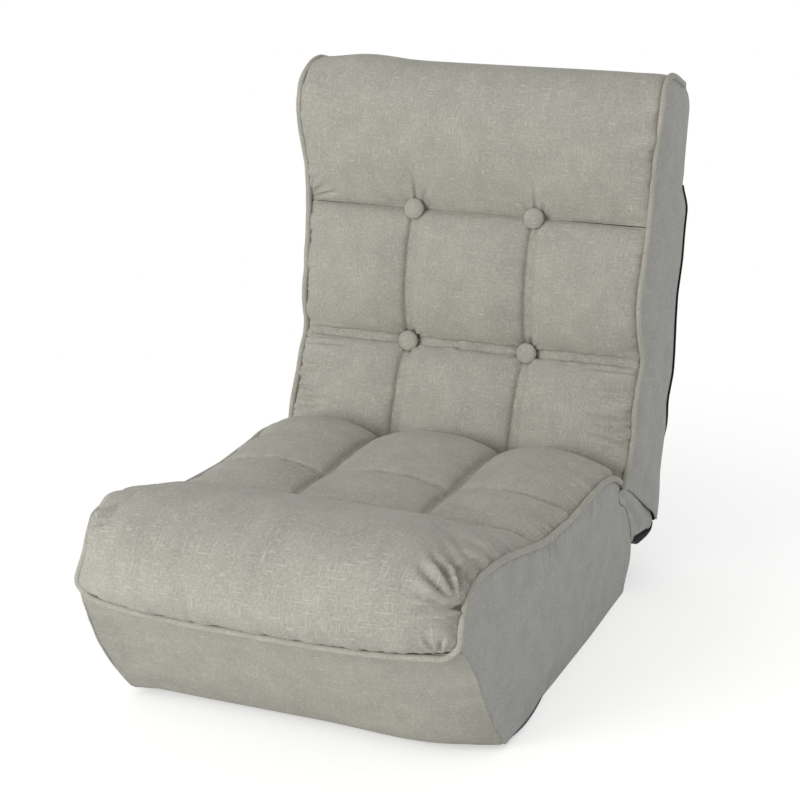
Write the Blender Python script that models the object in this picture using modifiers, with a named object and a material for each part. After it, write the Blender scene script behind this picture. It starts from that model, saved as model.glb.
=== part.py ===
"""Floor chair with a reclining back and a tilting head section.

Metres, +Z up, the chair faces -Y. Left and right are as seen from in front.
A seat, a back and a head section are padded steel frames joined by ratchet
hinges inside the padding. Each moving piece is parented to an empty on its axis.
"""
import math

import bmesh
import bpy
from mathutils import Matrix, Vector
from mathutils.geometry import convex_hull_2d

# General sizes
CHAIR_WIDTH = 0.560          # over the piping of both sides
GAP = 0.0003                 # between pieces that touch
OVERRUN = 0.010              # how far a cutter runs past what it cuts
CLOTH = 0.002                # cloth panels with their lining
SIDE_PANEL = 0.003           # side panels with their padding
PIPING_RADIUS = 0.0045
QUILT_SINK = 0.018           # thickness of a quilt at its sewn edge
TUBE_RADIUS = 0.0095
TUBE_WALL = 0.0012
TUBE_INSET = 0.0612          # back tubes inside the side panels
CROSS_TUBE_RADIUS = 0.008
SLING = 0.0012               # woven sling round each frame

# Seat
JUNCTION_Y = 0.21466         # where the piping of back and seat meet
SEAT_DEPTH = 0.679           # from there forward to the front piping
SEAT_HEIGHT = 0.272          # top of the side piping over the front bolster
SEAT_CROWN = 0.028
BOLSTER_CROWN = 0.034
REAR_CHANNEL = 0.165         # sewn channels across the seat, from the junction
FRONT_CHANNEL = 0.345
COLUMN_SHARE = 0.1741        # sewn channels along seat and back, as a share of the width
CHANNEL_WIDTH = 0.026
SEAT_FRAME_LENGTH = 0.500

# Back and recline hinge
HINGE_BEHIND = 0.0764        # axis behind the junction
HINGE_UP_SHARE = 0.4044      # axis above the floor, as a share of the seat's height
BACK_LEAN = math.radians(10.0)
BACK_LENGTH = 0.655          # axis to the top of the side panel
BACK_AHEAD = 0.070           # axis to the side piping
BACK_BEHIND = 0.1085         # axis to the rear cloth
LOWER_BUTTON_UP = 0.245      # lower row of buttons, from the axis
BACK_CROWN = 0.034
BUTTON_RADIUS = 0.0150
BUTTON_HEIGHT = 0.009
TUFT_PIT = 0.014             # how far a button draws the quilt in
BUTTON_DEPTH = 0.007         # floor of a button's seat behind the sewn line
CORD_RADIUS = 0.0012

# Head section and its hinge
HEAD_HINGE_UP = 0.473
HEAD_HINGE_AHEAD = 0.016
HEAD_BEHIND = 0.085          # recline axis to the rear cloth of the head
HEAD_CROWN = 0.044
HEAD_TOP_ROUND = 0.110       # length over which the quilt rounds towards the top seam
PARTING_SLOPE = math.radians(26.0)
PARTING_OPEN = math.radians(15.0)   # half of the head's forward travel
PARTING_BEHIND = 0.004       # root of the opening behind the head axis
PARTING_TAPER = 0.064        # length over which the back quilt thins towards the parting
BACK_CREASE_TAPER = 0.120    # and towards the seat, where the seat quilt thins as well
SEAT_CREASE_TAPER = 0.070
HEAD_FRAME_SHARE = 0.7143    # of the head's height, and the bend of its own leg
HEAD_BEND_SHARE = 0.4684

# Ratchet hinges
RECLINE_RADIUS = 0.034
HEAD_RATCHET_RADIUS = 0.022
RATCHET_THICKNESS = 0.005
TOOTH_PITCH = math.radians(5.0)
RECLINE_TOOTH = 0.0022
HEAD_TOOTH = 0.0016
YOKE_CLEARANCE = 0.0005
YOKE_WALL = 0.0025
PIN_RADIUS = 0.005
HEAD_PIN_RADIUS = 0.0035
PIN_HEAD = 0.003
SPRING = 0.0008
ARM_LENGTH = 0.100
HEAD_ARM_LENGTH = 0.060
ARM_HALF_WIDTH = 0.0075
YOKE_LENGTH = 0.095
HEAD_YOKE_LENGTH = 0.060

# Outline of the seat, as shares of SEAT_DEPTH forward and of SEAT_HEIGHT up
SEAT_UNDER_SHARES = ((-0.068, 0.0), (0.501, 0.0), (0.736, 0.037), (0.829, 0.239),
                     (0.885, 0.419), (0.925, 0.577), (1.0, 0.743))
SEAT_TOP_SHARES = ((0.9985, 0.81), (0.988, 0.90), (0.971, 0.965), (0.940, 0.996), (0.884, 1.0),
                   (0.780, 0.970), (0.661, 0.904), (0.567, 0.853), (0.457, 0.831), (0.353, 0.824),
                   (0.250, 0.834), (0.147, 0.827), (0.081, 0.790), (0.044, 0.746))
SEAT_REAR_SHARES = ((0.034, 0.632), (-0.019, 0.559), (-0.062, 0.423), (-0.081, 0.287), (-0.077, 0.140))

# Front line of the back and head, as shares of BACK_AHEAD forward, and up as shares of
# HINGE_Z for the foot, of HEAD_HINGE_UP for the back and of HEAD_HEIGHT for the head
BACK_FOOT_SHARES = (1.314, 0.5895)
BACK_FRONT_SHARES = ((1.260, 0.2216), (1.160, 0.3254), (0.980, 0.4224), (0.760, 0.4985),
                     (0.730, 0.5470), (0.830, 0.6024), (0.940, 0.6716), (0.990, 0.7547), (0.970, 0.8447))
HEAD_FRONT_SHARES = ((0.940, -0.0077), (0.943, 0.2586), (0.986, 0.6401), (1.010, 0.8740),
                     (0.900, 1.000), (0.640, 1.0648), (0.300, 1.0720))
HEAD_TOP_REAR_SHARE = 0.9856
# Seam over the gusset, as shares of BACK_BEHIND behind the axis and of HINGE_Z up
GUSSET_SEAM_SHARES = ((-0.500, 0.475), (-0.090, 0.327), (0.405, 0.125), (0.860, -0.075))
BACK_FOOT_SHARE = -0.170
CREASE_SAG = 0.008           # drop of the cloth in the crease
CREASE_SHARE = 0.78          # where it is sewn to the seat's rear edge
REAR_TOP_SHARE = 1.0372      # top of the rear cloth, as a share of HEAD_HINGE_UP
UNDER_COVER_SHARES = ((0.930, -0.235), (0.755, -0.262), (0.373, -0.276), (0.0, -0.286), (-0.110, -0.287))

# Places across a quilt, as shares of its half width, close together at the channels
QUILT_SHARES = (0.0, 0.09, 0.18, 0.26, 0.31, 0.355, 0.40, 0.46, 0.56, 0.68, 0.79, 0.88, 0.94, 0.98, 1.0)

# Sizes that follow from the ones above
HINGE_Z = HINGE_UP_SHARE * SEAT_HEIGHT
HEAD_HEIGHT = BACK_LENGTH - HEAD_HINGE_UP
PANEL_X = CHAIR_WIDTH / 2 - PIPING_RADIUS
FOAM_HALF = PANEL_X - SIDE_PANEL / 2 - GAP
QUILT_HALF = PANEL_X - PIPING_RADIUS - GAP
YOKE_HALF = RATCHET_THICKNESS / 2 + YOKE_CLEARANCE + YOKE_WALL
COLUMN_X = COLUMN_SHARE * CHAIR_WIDTH
BACK_TUBE_X = PANEL_X - TUBE_INSET
HINGE_X = BACK_TUBE_X - TUBE_RADIUS - GAP - YOKE_HALF
SEAT_TUBE_X = HINGE_X + RATCHET_THICKNESS / 2 + GAP + TUBE_RADIUS
HEAD_HINGE_X = BACK_TUBE_X - TUBE_RADIUS - GAP - RATCHET_THICKNESS / 2
HEAD_TUBE_X = HEAD_HINGE_X + YOKE_HALF + GAP + TUBE_RADIUS
SPLIT = TUBE_RADIUS + SLING + 2 * GAP
LEG_SLOPE = math.atan2(HEAD_HINGE_AHEAD, HEAD_HINGE_UP)
NEARLY_STRAIGHT = math.cos(math.radians(15.0))

COLLECTION = "floor_chair"
CUTTERS = "cutters"


def start():
    """Empty the scene and make the two collections."""
    for obj in list(bpy.data.objects):
        bpy.data.objects.remove(obj, do_unlink=True)
    for name in (COLLECTION, CUTTERS):
        bpy.context.scene.collection.children.link(bpy.data.collections.new(name))


def material(name, colour, roughness, metallic=0.0):
    made = bpy.data.materials.new(name)
    made.use_nodes = True
    shader = made.node_tree.nodes["Principled BSDF"]
    shader.inputs["Base Color"].default_value = (*colour, 1.0)
    shader.inputs["Roughness"].default_value = roughness
    shader.inputs["Metallic"].default_value = metallic
    return made


def axis(name, parent, location, rotation=0.0):
    """An empty on a joint's axis, turned about X."""
    made = bpy.data.objects.new(name, None)
    bpy.data.collections[COLLECTION].objects.link(made)
    made.parent = parent
    made.location = location
    made.rotation_euler = (rotation, 0.0, 0.0)
    return made


def place(obj, parent, look, location=(0.0, 0.0, 0.0), rotation=(0.0, 0.0, 0.0)):
    """Put a finished piece under its axis with its material."""
    obj.parent = parent
    obj.location = location
    obj.rotation_euler = rotation
    obj.data.materials.clear()
    obj.data.materials.append(look)
    return obj


def link(name, data, collection=COLLECTION):
    obj = bpy.data.objects.new(name, data)
    bpy.data.collections[collection].objects.link(obj)
    return obj


def as_mesh(curve_object):
    """Turn a curve into a welded mesh object of the same name."""
    bpy.context.view_layer.update()
    graph = bpy.context.evaluated_depsgraph_get()
    mesh = bpy.data.meshes.new_from_object(curve_object.evaluated_get(graph))
    work = bmesh.new()
    work.from_mesh(mesh)
    bmesh.ops.remove_doubles(work, verts=work.verts, dist=GAP / 10)
    bmesh.ops.recalc_face_normals(work, faces=work.faces)
    work.to_mesh(mesh)
    work.free()
    name, matrix = curve_object.name, curve_object.matrix_world.copy()
    collection = curve_object.users_collection[0].name
    bpy.data.objects.remove(curve_object)
    obj = link(name, mesh, collection)
    obj.matrix_world = matrix
    return obj


def plate(name, outlines, thickness, collection=COLLECTION):
    """A flat outline in the YZ plane, with any holes, thick along X about the middle."""
    curve = bpy.data.curves.new(name, "CURVE")
    curve.dimensions = "2D"
    curve.fill_mode = "BOTH"
    curve.extrude = thickness / 2
    for outline in outlines:
        spline = curve.splines.new("POLY")
        spline.points.add(len(outline) - 1)
        for point, (y, z) in zip(spline.points, outline):
            point.co = (y, z, 0.0, 1.0)
        spline.use_cyclic_u = True
    obj = link(name, curve, collection)
    obj.rotation_euler = (math.pi / 2, 0.0, math.pi / 2)
    made = as_mesh(obj)
    made.data.transform(made.matrix_world)
    made.matrix_world.identity()
    return made


def tube(name, points, radius, collection=COLLECTION, sides=2):
    """A round bar along the points with closed ends."""
    curve = bpy.data.curves.new(name, "CURVE")
    curve.dimensions = "3D"
    curve.bevel_depth = radius
    curve.bevel_resolution = sides
    curve.use_fill_caps = True
    spline = curve.splines.new("POLY")
    spline.points.add(len(points) - 1)
    for point, place_at in zip(spline.points, points):
        point.co = (*place_at, 1.0)
    made = as_mesh(link(name, curve, collection))
    made.data.shade_smooth()
    made.data.set_sharp_from_angle(angle=math.radians(40))
    return made


def turned(name, profile, sides=16):
    """Turn a profile of (radius, height) pairs, listed from the top down, about X."""
    mesh = bpy.data.meshes.new(name)
    mesh.from_pydata([(radius, 0.0, height) for radius, height in profile],
                     [(i, i + 1) for i in range(len(profile) - 1)], [])
    obj = link(name, mesh)
    screw = obj.modifiers.new("turn", "SCREW")
    screw.steps = screw.render_steps = sides
    screw.use_merge_vertices = True
    screw.merge_threshold = GAP / 10
    return obj


def cutter_box(name, low, high):
    """A hidden box between two corners."""
    bpy.ops.mesh.primitive_cube_add(size=1.0)
    box = bpy.context.object
    middle = [(a + b) / 2 for a, b in zip(low, high)]
    size = [b - a for a, b in zip(low, high)]
    for vertex in box.data.vertices:
        vertex.co = [m + s * c for m, s, c in zip(middle, size, vertex.co)]
    return as_cutter(box, name)


def cutter_cylinder(name, radius, low_x, high_x, y=0.0, z=0.0):
    """A hidden cylinder along X."""
    return as_cutter(cylinder(name, radius, low_x, high_x, y, z), name)


def cylinder(name, radius, low_x, high_x, y, z, sides=24):
    bpy.ops.mesh.primitive_cylinder_add(vertices=sides, radius=radius, depth=high_x - low_x)
    obj = bpy.context.object
    obj.name = name
    for vertex in obj.data.vertices:
        across, along, up = vertex.co
        vertex.co = (up + (low_x + high_x) / 2, along + y, z - across)
    return obj


def as_cutter(obj, name):
    for collection in list(obj.users_collection):
        collection.objects.unlink(obj)
    bpy.data.collections[CUTTERS].objects.link(obj)
    obj.name = name
    obj.hide_render = True
    obj.display_type = "WIRE"
    return obj


def boolean(obj, other, operation="DIFFERENCE"):
    """Cut or join another mesh that lies in the same parent's frame."""
    if other.parent is None:
        other.parent = obj.parent
    made = obj.modifiers.new(other.name, "BOOLEAN")
    made.operation = operation
    made.object = other
    made.solver = "EXACT"
    return obj


def polar(radius, angle, centre=(0.0, 0.0)):
    """A point at an angle from +Z towards +Y."""
    return (centre[0] + radius * math.sin(angle), centre[1] + radius * math.cos(angle))


def arc(radius, first, last, steps, centre=(0.0, 0.0)):
    return [polar(radius, first + (last - first) * i / steps, centre) for i in range(steps + 1)]


def crossing(p, along_p, q, along_q):
    """Where two lines in the plane meet."""
    turn = along_p.x * along_q.y - along_p.y * along_q.x
    if abs(turn) < 1e-6:
        return (p + q) / 2
    reach = ((q.x - p.x) * along_q.y - (q.y - p.y) * along_q.x) / turn
    return p + along_p * reach


def area(outline):
    following = outline[1:] + outline[:1]
    return sum(a[0] * b[1] - b[0] * a[1] for a, b in zip(outline, following)) / 2


def inset(outline, distances):
    """Draw an outline in, each edge (from its point to the next) by its own distance.

    Where two edges run nearly straight on with unlike distances, the outline steps.
    """
    points = [Vector(p) for p in outline]
    side = 1.0 if area(outline) > 0 else -1.0
    count = len(points)
    lines = []
    for i in range(count):
        along = (points[(i + 1) % count] - points[i]).normalized()
        inward = Vector((-along.y, along.x)) * side
        lines.append((inward * distances[i], along))
    made = []
    for i in range(count):
        (shift_p, along_p), (shift_q, along_q) = lines[i - 1], lines[i]
        steps = abs(distances[i - 1] - distances[i]) > GAP
        if steps and along_p.dot(along_q) > NEARLY_STRAIGHT:
            made += [tuple(points[i] + shift_p), tuple(points[i] + shift_q)]
        else:
            made.append(tuple(crossing(points[i] + shift_p, along_p, points[i] + shift_q, along_q)))
    return made


def trimmed(points, start_cut, end_cut):
    """Shorten a run of points at both ends."""
    points = [Vector(p) for p in points]
    points[0] += (points[1] - points[0]).normalized() * start_cut
    points[-1] += (points[-2] - points[-1]).normalized() * end_cut
    return [tuple(p) for p in points]


def strip(outer, inner, first, last, cuts=(GAP, GAP)):
    """The outline of a cloth panel between two runs of matching points."""
    a = trimmed(outer[first:last + 1], *cuts)
    b = trimmed(inner[first:last + 1], *cuts)
    return a + b[::-1]


def parallel(points, distance):
    """The run of matching points at a distance to the right of an open run."""
    run = [Vector(p) for p in points]
    sides = []
    for a, b in zip(run, run[1:]):
        along = (b - a).normalized()
        sides.append((Vector((along.y, -along.x)) * distance, along))
    made = [run[0] + sides[0][0]]
    for point, (shift_p, along_p), (shift_q, along_q) in zip(run[1:], sides, sides[1:]):
        made.append(crossing(point + shift_p, along_p, point + shift_q, along_q))
    return made + [run[-1] + sides[-1][0]]


def walk(points, count):
    """Sections of a quilt, evenly spaced: (point on the sewn line, core point, distance gone)."""
    run = [Vector(p) for p in points]
    core = parallel(points, QUILT_SINK)
    lengths = [0.0]
    for a, b in zip(run, run[1:]):
        lengths.append(lengths[-1] + (b - a).length)
    step = lengths[-1] / (count - 1)
    between = [step * i for i in range(1, count - 1)]
    between = [goal for goal in between if min(abs(goal - length) for length in lengths) > step / 3]
    made = []
    for goal in sorted(lengths + between):
        k = max(j for j in range(len(run) - 1) if lengths[j] <= goal + GAP / 10)
        share = (goal - lengths[k]) / (lengths[k + 1] - lengths[k])
        made.append((run[k].lerp(run[k + 1], share), core[k].lerp(core[k + 1], share), goal))
    return made, lengths[-1]


def quilt(name, stations, height):
    """A closed pad: sections along the stations, with a crown of height(x, spot, goal)."""
    across = [-s * QUILT_HALF for s in QUILT_SHARES[:0:-1]] + [s * QUILT_HALF for s in QUILT_SHARES]
    work = bmesh.new()
    rings = []
    for spot, core, goal in stations:
        outward = (spot - core).normalized()
        ring = [work.verts.new((x, *core)) for x in (-QUILT_HALF, QUILT_HALF)]
        for x in reversed(across):
            ring.append(work.verts.new((x, *(spot + outward * height(x, spot, goal)))))
        rings.append(ring)
    for ring, following in zip(rings, rings[1:]):
        for i in range(len(ring)):
            j = (i + 1) % len(ring)
            work.faces.new((ring[i], ring[j], following[j], following[i]))
    work.faces.new(rings[0])
    work.faces.new(rings[-1][::-1])
    bmesh.ops.recalc_face_normals(work, faces=work.faces)
    mesh = bpy.data.meshes.new(name)
    work.to_mesh(mesh)
    work.free()
    mesh.shade_smooth()
    mesh.set_sharp_from_angle(angle=math.radians(60))
    return link(name, mesh)


def rounded(share):
    """A quarter round from 0 at share 0 to 1 at share 1."""
    share = min(max(share, 0.0), 1.0)
    return math.sqrt(1.0 - (1.0 - share) ** 2)


def tapered(share):
    """Like rounded, but leaving the end at a slope instead of upright."""
    share = min(max(share, 0.0), 1.0)
    return share * (2 - share)


def valley(distance):
    return math.exp(-(distance / CHANNEL_WIDTH) ** 2)


def edge_across(x):
    return math.sqrt(max(1.0 - (abs(x) / QUILT_HALF) ** 5, 0.0))


def seat_point(forward_share, up_share):
    return (-forward_share * SEAT_DEPTH, up_share * SEAT_HEIGHT)


def back_front_line():
    """The back's front line, from its foot up to the parting."""
    foot_ahead, foot_up = BACK_FOOT_SHARES
    return [(-foot_ahead * BACK_AHEAD, foot_up * HINGE_Z)] + [
        (-ahead * BACK_AHEAD, up * HEAD_HINGE_UP) for ahead, up in BACK_FRONT_SHARES]


def head_front_line():
    """The head's front line, from the parting up and over the top."""
    return [(-ahead * BACK_AHEAD, HEAD_HINGE_UP + up * HEAD_HEIGHT) for ahead, up in HEAD_FRONT_SHARES]


def seat_to_back(point):
    """A point of the seat's side view in the frame of the recline axis."""
    y, z = point[0] - HINGE_BEHIND, point[1] - HINGE_Z
    return (y * math.cos(BACK_LEAN) - z * math.sin(BACK_LEAN),
            y * math.sin(BACK_LEAN) + z * math.cos(BACK_LEAN))


def parting_root():
    """Where the opening between back and head ends, just behind the head axis."""
    return Vector((-HEAD_HINGE_AHEAD + PARTING_BEHIND * math.cos(PARTING_SLOPE),
                   HEAD_HINGE_UP + PARTING_BEHIND * math.sin(PARTING_SLOPE)))


def parting_line(ahead, opening):
    """A point of the parting of back and head, at a place ahead of (-) or behind the axis."""
    root = parting_root()
    slope = PARTING_SLOPE + (opening if ahead < root.x else 0.0)
    return (ahead, root.y + (ahead - root.x) * math.tan(slope))


def seat_outlines():
    """The seat's side view: all round, then the under, top and rear runs in it."""
    under = [seat_point(*s) for s in SEAT_UNDER_SHARES]
    top = [seat_point(*s) for s in SEAT_TOP_SHARES]
    rear = [seat_point(*s) for s in SEAT_REAR_SHARES]
    return under, top, rear


def back_outline():
    """The back's side view, from the front foot up, over the parting and down the rear."""
    front = back_front_line()
    root = tuple(parting_root())
    lip = parting_line(front[-1][0], PARTING_OPEN)
    rear = [parting_line(HEAD_BEHIND, 0.0), (BACK_BEHIND, REAR_TOP_SHARE * HEAD_HINGE_UP),
            (BACK_BEHIND, BACK_FOOT_SHARE * HINGE_Z)]
    seam = [(a * BACK_BEHIND, b * HINGE_Z) for a, b in GUSSET_SEAM_SHARES]
    return front, [lip, root], rear, seam[::-1]


def head_outline():
    """The head's side view, from the front of the parting up, over the top and down."""
    front = head_front_line()
    lip = parting_line(front[0][0], -PARTING_OPEN)
    rear_top = (HEAD_BEHIND, HEAD_HINGE_UP + HEAD_TOP_REAR_SHARE * HEAD_HEIGHT)
    rear_foot = parting_line(HEAD_BEHIND, 0.0)
    raised = [(y, z + 2 * GAP) for y, z in (rear_foot, parting_root())]
    return [lip] + front, rear_top, raised


def from_head_axis(points):
    return [(y + HEAD_HINGE_AHEAD, z - HEAD_HINGE_UP) for y, z in points]


def ratchet_outline(radius, tooth, first, last, arm_angle, arm_length):
    """A toothed disc with an arm. Gullets stand at whole pitches from angle 0."""
    hub = radius * 0.72
    root = radius - tooth
    points = []
    for k in range(round(first / TOOTH_PITCH), round(last / TOOTH_PITCH)):
        gullet = k * TOOTH_PITCH
        points += [polar(root, gullet - 0.19 * TOOTH_PITCH), polar(root, gullet + 0.19 * TOOTH_PITCH),
                   polar(radius, gullet + 0.35 * TOOTH_PITCH), polar(radius, gullet + 0.65 * TOOTH_PITCH)]
    points += [polar(root, last), polar(root, last + TOOTH_PITCH)]
    half = math.asin(ARM_HALF_WIDTH / hub)
    arm_from = arm_angle - half
    while arm_from < last:
        arm_from += 2 * math.pi
    points += arc(hub, last + 2 * TOOTH_PITCH, arm_from, 10)
    end = arc(ARM_HALF_WIDTH, arm_angle - math.pi / 2, arm_angle + math.pi / 2, 6,
              polar(arm_length - ARM_HALF_WIDTH, arm_angle))
    points += end
    arm_to = arm_from + 2 * half
    closing = first + 2 * math.pi - 2 * TOOTH_PITCH
    points += arc(hub, arm_to, closing, 4) if closing > arm_to + TOOTH_PITCH else [polar(hub, arm_to)]
    points += [polar(root, first - TOOTH_PITCH)]
    return points


def ring(radius, count, centre=(0.0, 0.0)):
    return arc(radius, 0.0, 2 * math.pi * (1 - 1 / count), count - 1, centre)


def pawl_outline(radius, tooth, pivot):
    """A lever from its pivot to three teeth that stand in the ratchet's gullets."""
    clear = tooth * 0.18
    points = []
    for k in (-1, 0, 1):
        middle = k * TOOTH_PITCH
        points += [polar(radius + clear, middle - 0.27 * TOOTH_PITCH),
                   polar(radius - tooth + clear, middle - 0.12 * TOOTH_PITCH),
                   polar(radius - tooth + clear, middle + 0.12 * TOOTH_PITCH),
                   polar(radius + clear, middle + 0.27 * TOOTH_PITCH)]
    boss = radius * 0.17
    points += [polar(radius + 2 * clear, 2.4 * TOOTH_PITCH), polar(radius + 3 * clear, 4.2 * TOOTH_PITCH)]
    points += arc(boss, math.radians(195), math.radians(0), 8, pivot)
    points += [polar(radius + boss, -1.5 * TOOTH_PITCH)]
    return points


def ribbon(points, thickness):
    """A closed outline of even thickness to one side of an open run of points."""
    run = [Vector(p) for p in points]
    sides = []
    for i, point in enumerate(run):
        before, after = run[max(i - 1, 0)], run[min(i + 1, len(run) - 1)]
        along = (after - before).normalized()
        sides.append(tuple(point + Vector((-along.y, along.x)) * thickness))
    return [tuple(p) for p in run] + sides[::-1]


def pin_profile(radius, half):
    """A riveted pin: two domed heads on a shank."""
    head = radius * 1.7
    top = half + GAP + PIN_HEAD
    return [(0.0, top), (head * 0.7, top - PIN_HEAD * 0.15), (head, half + GAP + PIN_HEAD * 0.5),
            (head, half + GAP), (radius, half + GAP), (radius, -half - GAP), (head, -half - GAP),
            (head, -half - GAP - PIN_HEAD * 0.5), (head * 0.7, -top + PIN_HEAD * 0.15), (0.0, -top)]


def ratchet_hinge(prefix, names, side, x, radius, tooth, pin_radius, teeth, arm, yoke_length,
                  fixed, moving, lean, steel, spring_steel):
    """One hinge: the toothed plate, its pin, the yoke, the pawl on its axis and the spring."""
    ratchet, pin, yoke, pawl, spring = names
    at = side * x
    pivot = (radius * 0.765, radius * 0.985)
    pin_hole = ring(pin_radius + GAP, 20)
    outline = ratchet_outline(radius, tooth, teeth[0], teeth[1], arm[0] - lean, arm[1])
    made = plate(ratchet, [outline, pin_hole], RATCHET_THICKNESS)
    place(made, fixed, steel, (at, *arm[2]), (-lean, 0.0, 0.0))
    made = turned(pin, pin_profile(pin_radius, YOKE_HALF))
    place(made, fixed, steel, (at, *arm[2]), (0.0, math.pi / 2, 0.0))

    low = radius * 0.47
    hull_points = (ring(low, 24) + ring(radius * 0.2, 16, pivot)
                   + ring(TUBE_RADIUS * 0.8, 16, (0.0, yoke_length - TUBE_RADIUS)))
    hull = [hull_points[i] for i in convex_hull_2d(hull_points)]
    made = plate(yoke, [hull, pin_hole], 2 * YOKE_HALF)
    place(made, moving, steel, (at, 0.0, 0.0))
    slot_top = radius * 1.5
    slot_half = RATCHET_THICKNESS / 2 + YOKE_CLEARANCE
    slot = cutter_box(f"{prefix}_slot", (-slot_half, -2 * radius, -2 * radius),
                      (slot_half, 2 * radius, slot_top))
    slot.location = (at, 0.0, 0.0)
    boolean(made, slot)
    pawl_pin = radius * 0.075
    post = cylinder(f"{prefix}_pawl_post", pawl_pin, -slot_half - YOKE_WALL / 2,
                    slot_half + YOKE_WALL / 2, *pivot, 12)
    as_cutter(post, f"{prefix}_pawl_post")
    post.location = (at, 0.0, 0.0)
    boolean(made, post, "UNION")

    pawl_axis = axis(f"{prefix}_pawl_axis", moving, (at, *pivot))
    outline = [(y - pivot[0], z - pivot[1]) for y, z in pawl_outline(radius, tooth, pivot)]
    made = plate(pawl, [outline, ring(pawl_pin + GAP, 12)], RATCHET_THICKNESS - GAP)
    place(made, pawl_axis, steel)

    back_of_pawl = radius * 1.17 + GAP
    leaf = [(radius * 0.50, slot_top - GAP - SPRING), (radius * 0.10, slot_top - GAP - SPRING),
            (-radius * 0.05, (slot_top + back_of_pawl) / 2), (radius * 0.06, back_of_pawl + SPRING),
            (radius * 0.16, back_of_pawl + 2 * SPRING)]
    made = plate(spring, [ribbon(leaf, -SPRING)], RATCHET_THICKNESS - GAP)
    place(made, moving, spring_steel, (at, 0.0, 0.0))


def bored(obj, points, radius, name):
    """Take the bore out of a tube, open at both ends."""
    run = [Vector(p) for p in points]
    run[0] += (run[0] - run[1]).normalized() * OVERRUN
    run[-1] += (run[-1] - run[-2]).normalized() * OVERRUN
    cutter = as_cutter(tube(name, [tuple(p) for p in run], radius - TUBE_WALL, CUTTERS), name)
    return boolean(obj, cutter)


def bent(corner_points, bend, steps=5):
    """Round the corners of a run of points."""
    run = [Vector(p) for p in corner_points]
    made = [run[0]]
    for before, corner, after in zip(run, run[1:], run[2:]):
        start_at = corner + (before - corner).normalized() * bend
        end_at = corner + (after - corner).normalized() * bend
        for i in range(steps + 1):
            share = i / steps
            made.append(start_at.lerp(corner, share).lerp(corner.lerp(end_at, share), share))
    made.append(run[-1])
    return [tuple(p) for p in made]


def sling(name, tube_x, length, axes):
    """A woven sleeve round both side tubes, turned so that its length lies along the tubes."""
    outer, inner = TUBE_RADIUS + GAP + SLING, TUBE_RADIUS + GAP
    outlines = []
    for radius in (outer, inner):
        right = arc(radius, 0.0, math.pi, 8, (tube_x, 0.0))
        left = arc(radius, math.pi, 2 * math.pi, 8, (-tube_x, 0.0))
        outlines.append(right + left)
    made = plate(name, outlines, length)
    for turn, about in axes:
        made.data.transform(Matrix.Rotation(turn, 4, about))
    return made


def build():
    start()
    linen = material("linen", (0.47, 0.45, 0.40), 0.9)
    linen_side = material("linen_side", (0.40, 0.39, 0.36), 0.9)
    piping = material("piping", (0.52, 0.50, 0.44), 0.9)
    black = material("black_cloth", (0.02, 0.02, 0.022), 0.95)
    foam = material("foam", (0.86, 0.82, 0.66), 0.95)
    steel = material("painted_steel", (0.06, 0.06, 0.065), 0.45, 0.4)
    bright = material("zinc_steel", (0.62, 0.62, 0.60), 0.35, 0.9)
    web = material("woven_sling", (0.12, 0.12, 0.13), 0.85)

    seat_axis = axis("seat_origin", None, (0.0, JUNCTION_Y, 0.0))
    back_axis = axis("recline_axis", seat_axis, (0.0, HINGE_BEHIND, HINGE_Z), -BACK_LEAN)
    head_axis = axis("head_axis", back_axis, (0.0, -HEAD_HINGE_AHEAD, HEAD_HINGE_UP))

    build_seat(seat_axis, linen, linen_side, piping, black, foam, steel, web)
    build_back(back_axis, linen, linen_side, piping, black, foam, steel, web)
    build_head(head_axis, linen, linen_side, piping, foam, steel)
    build_fold(back_axis, linen, black)
    build_hinges(seat_axis, back_axis, head_axis, bright, steel)


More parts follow.
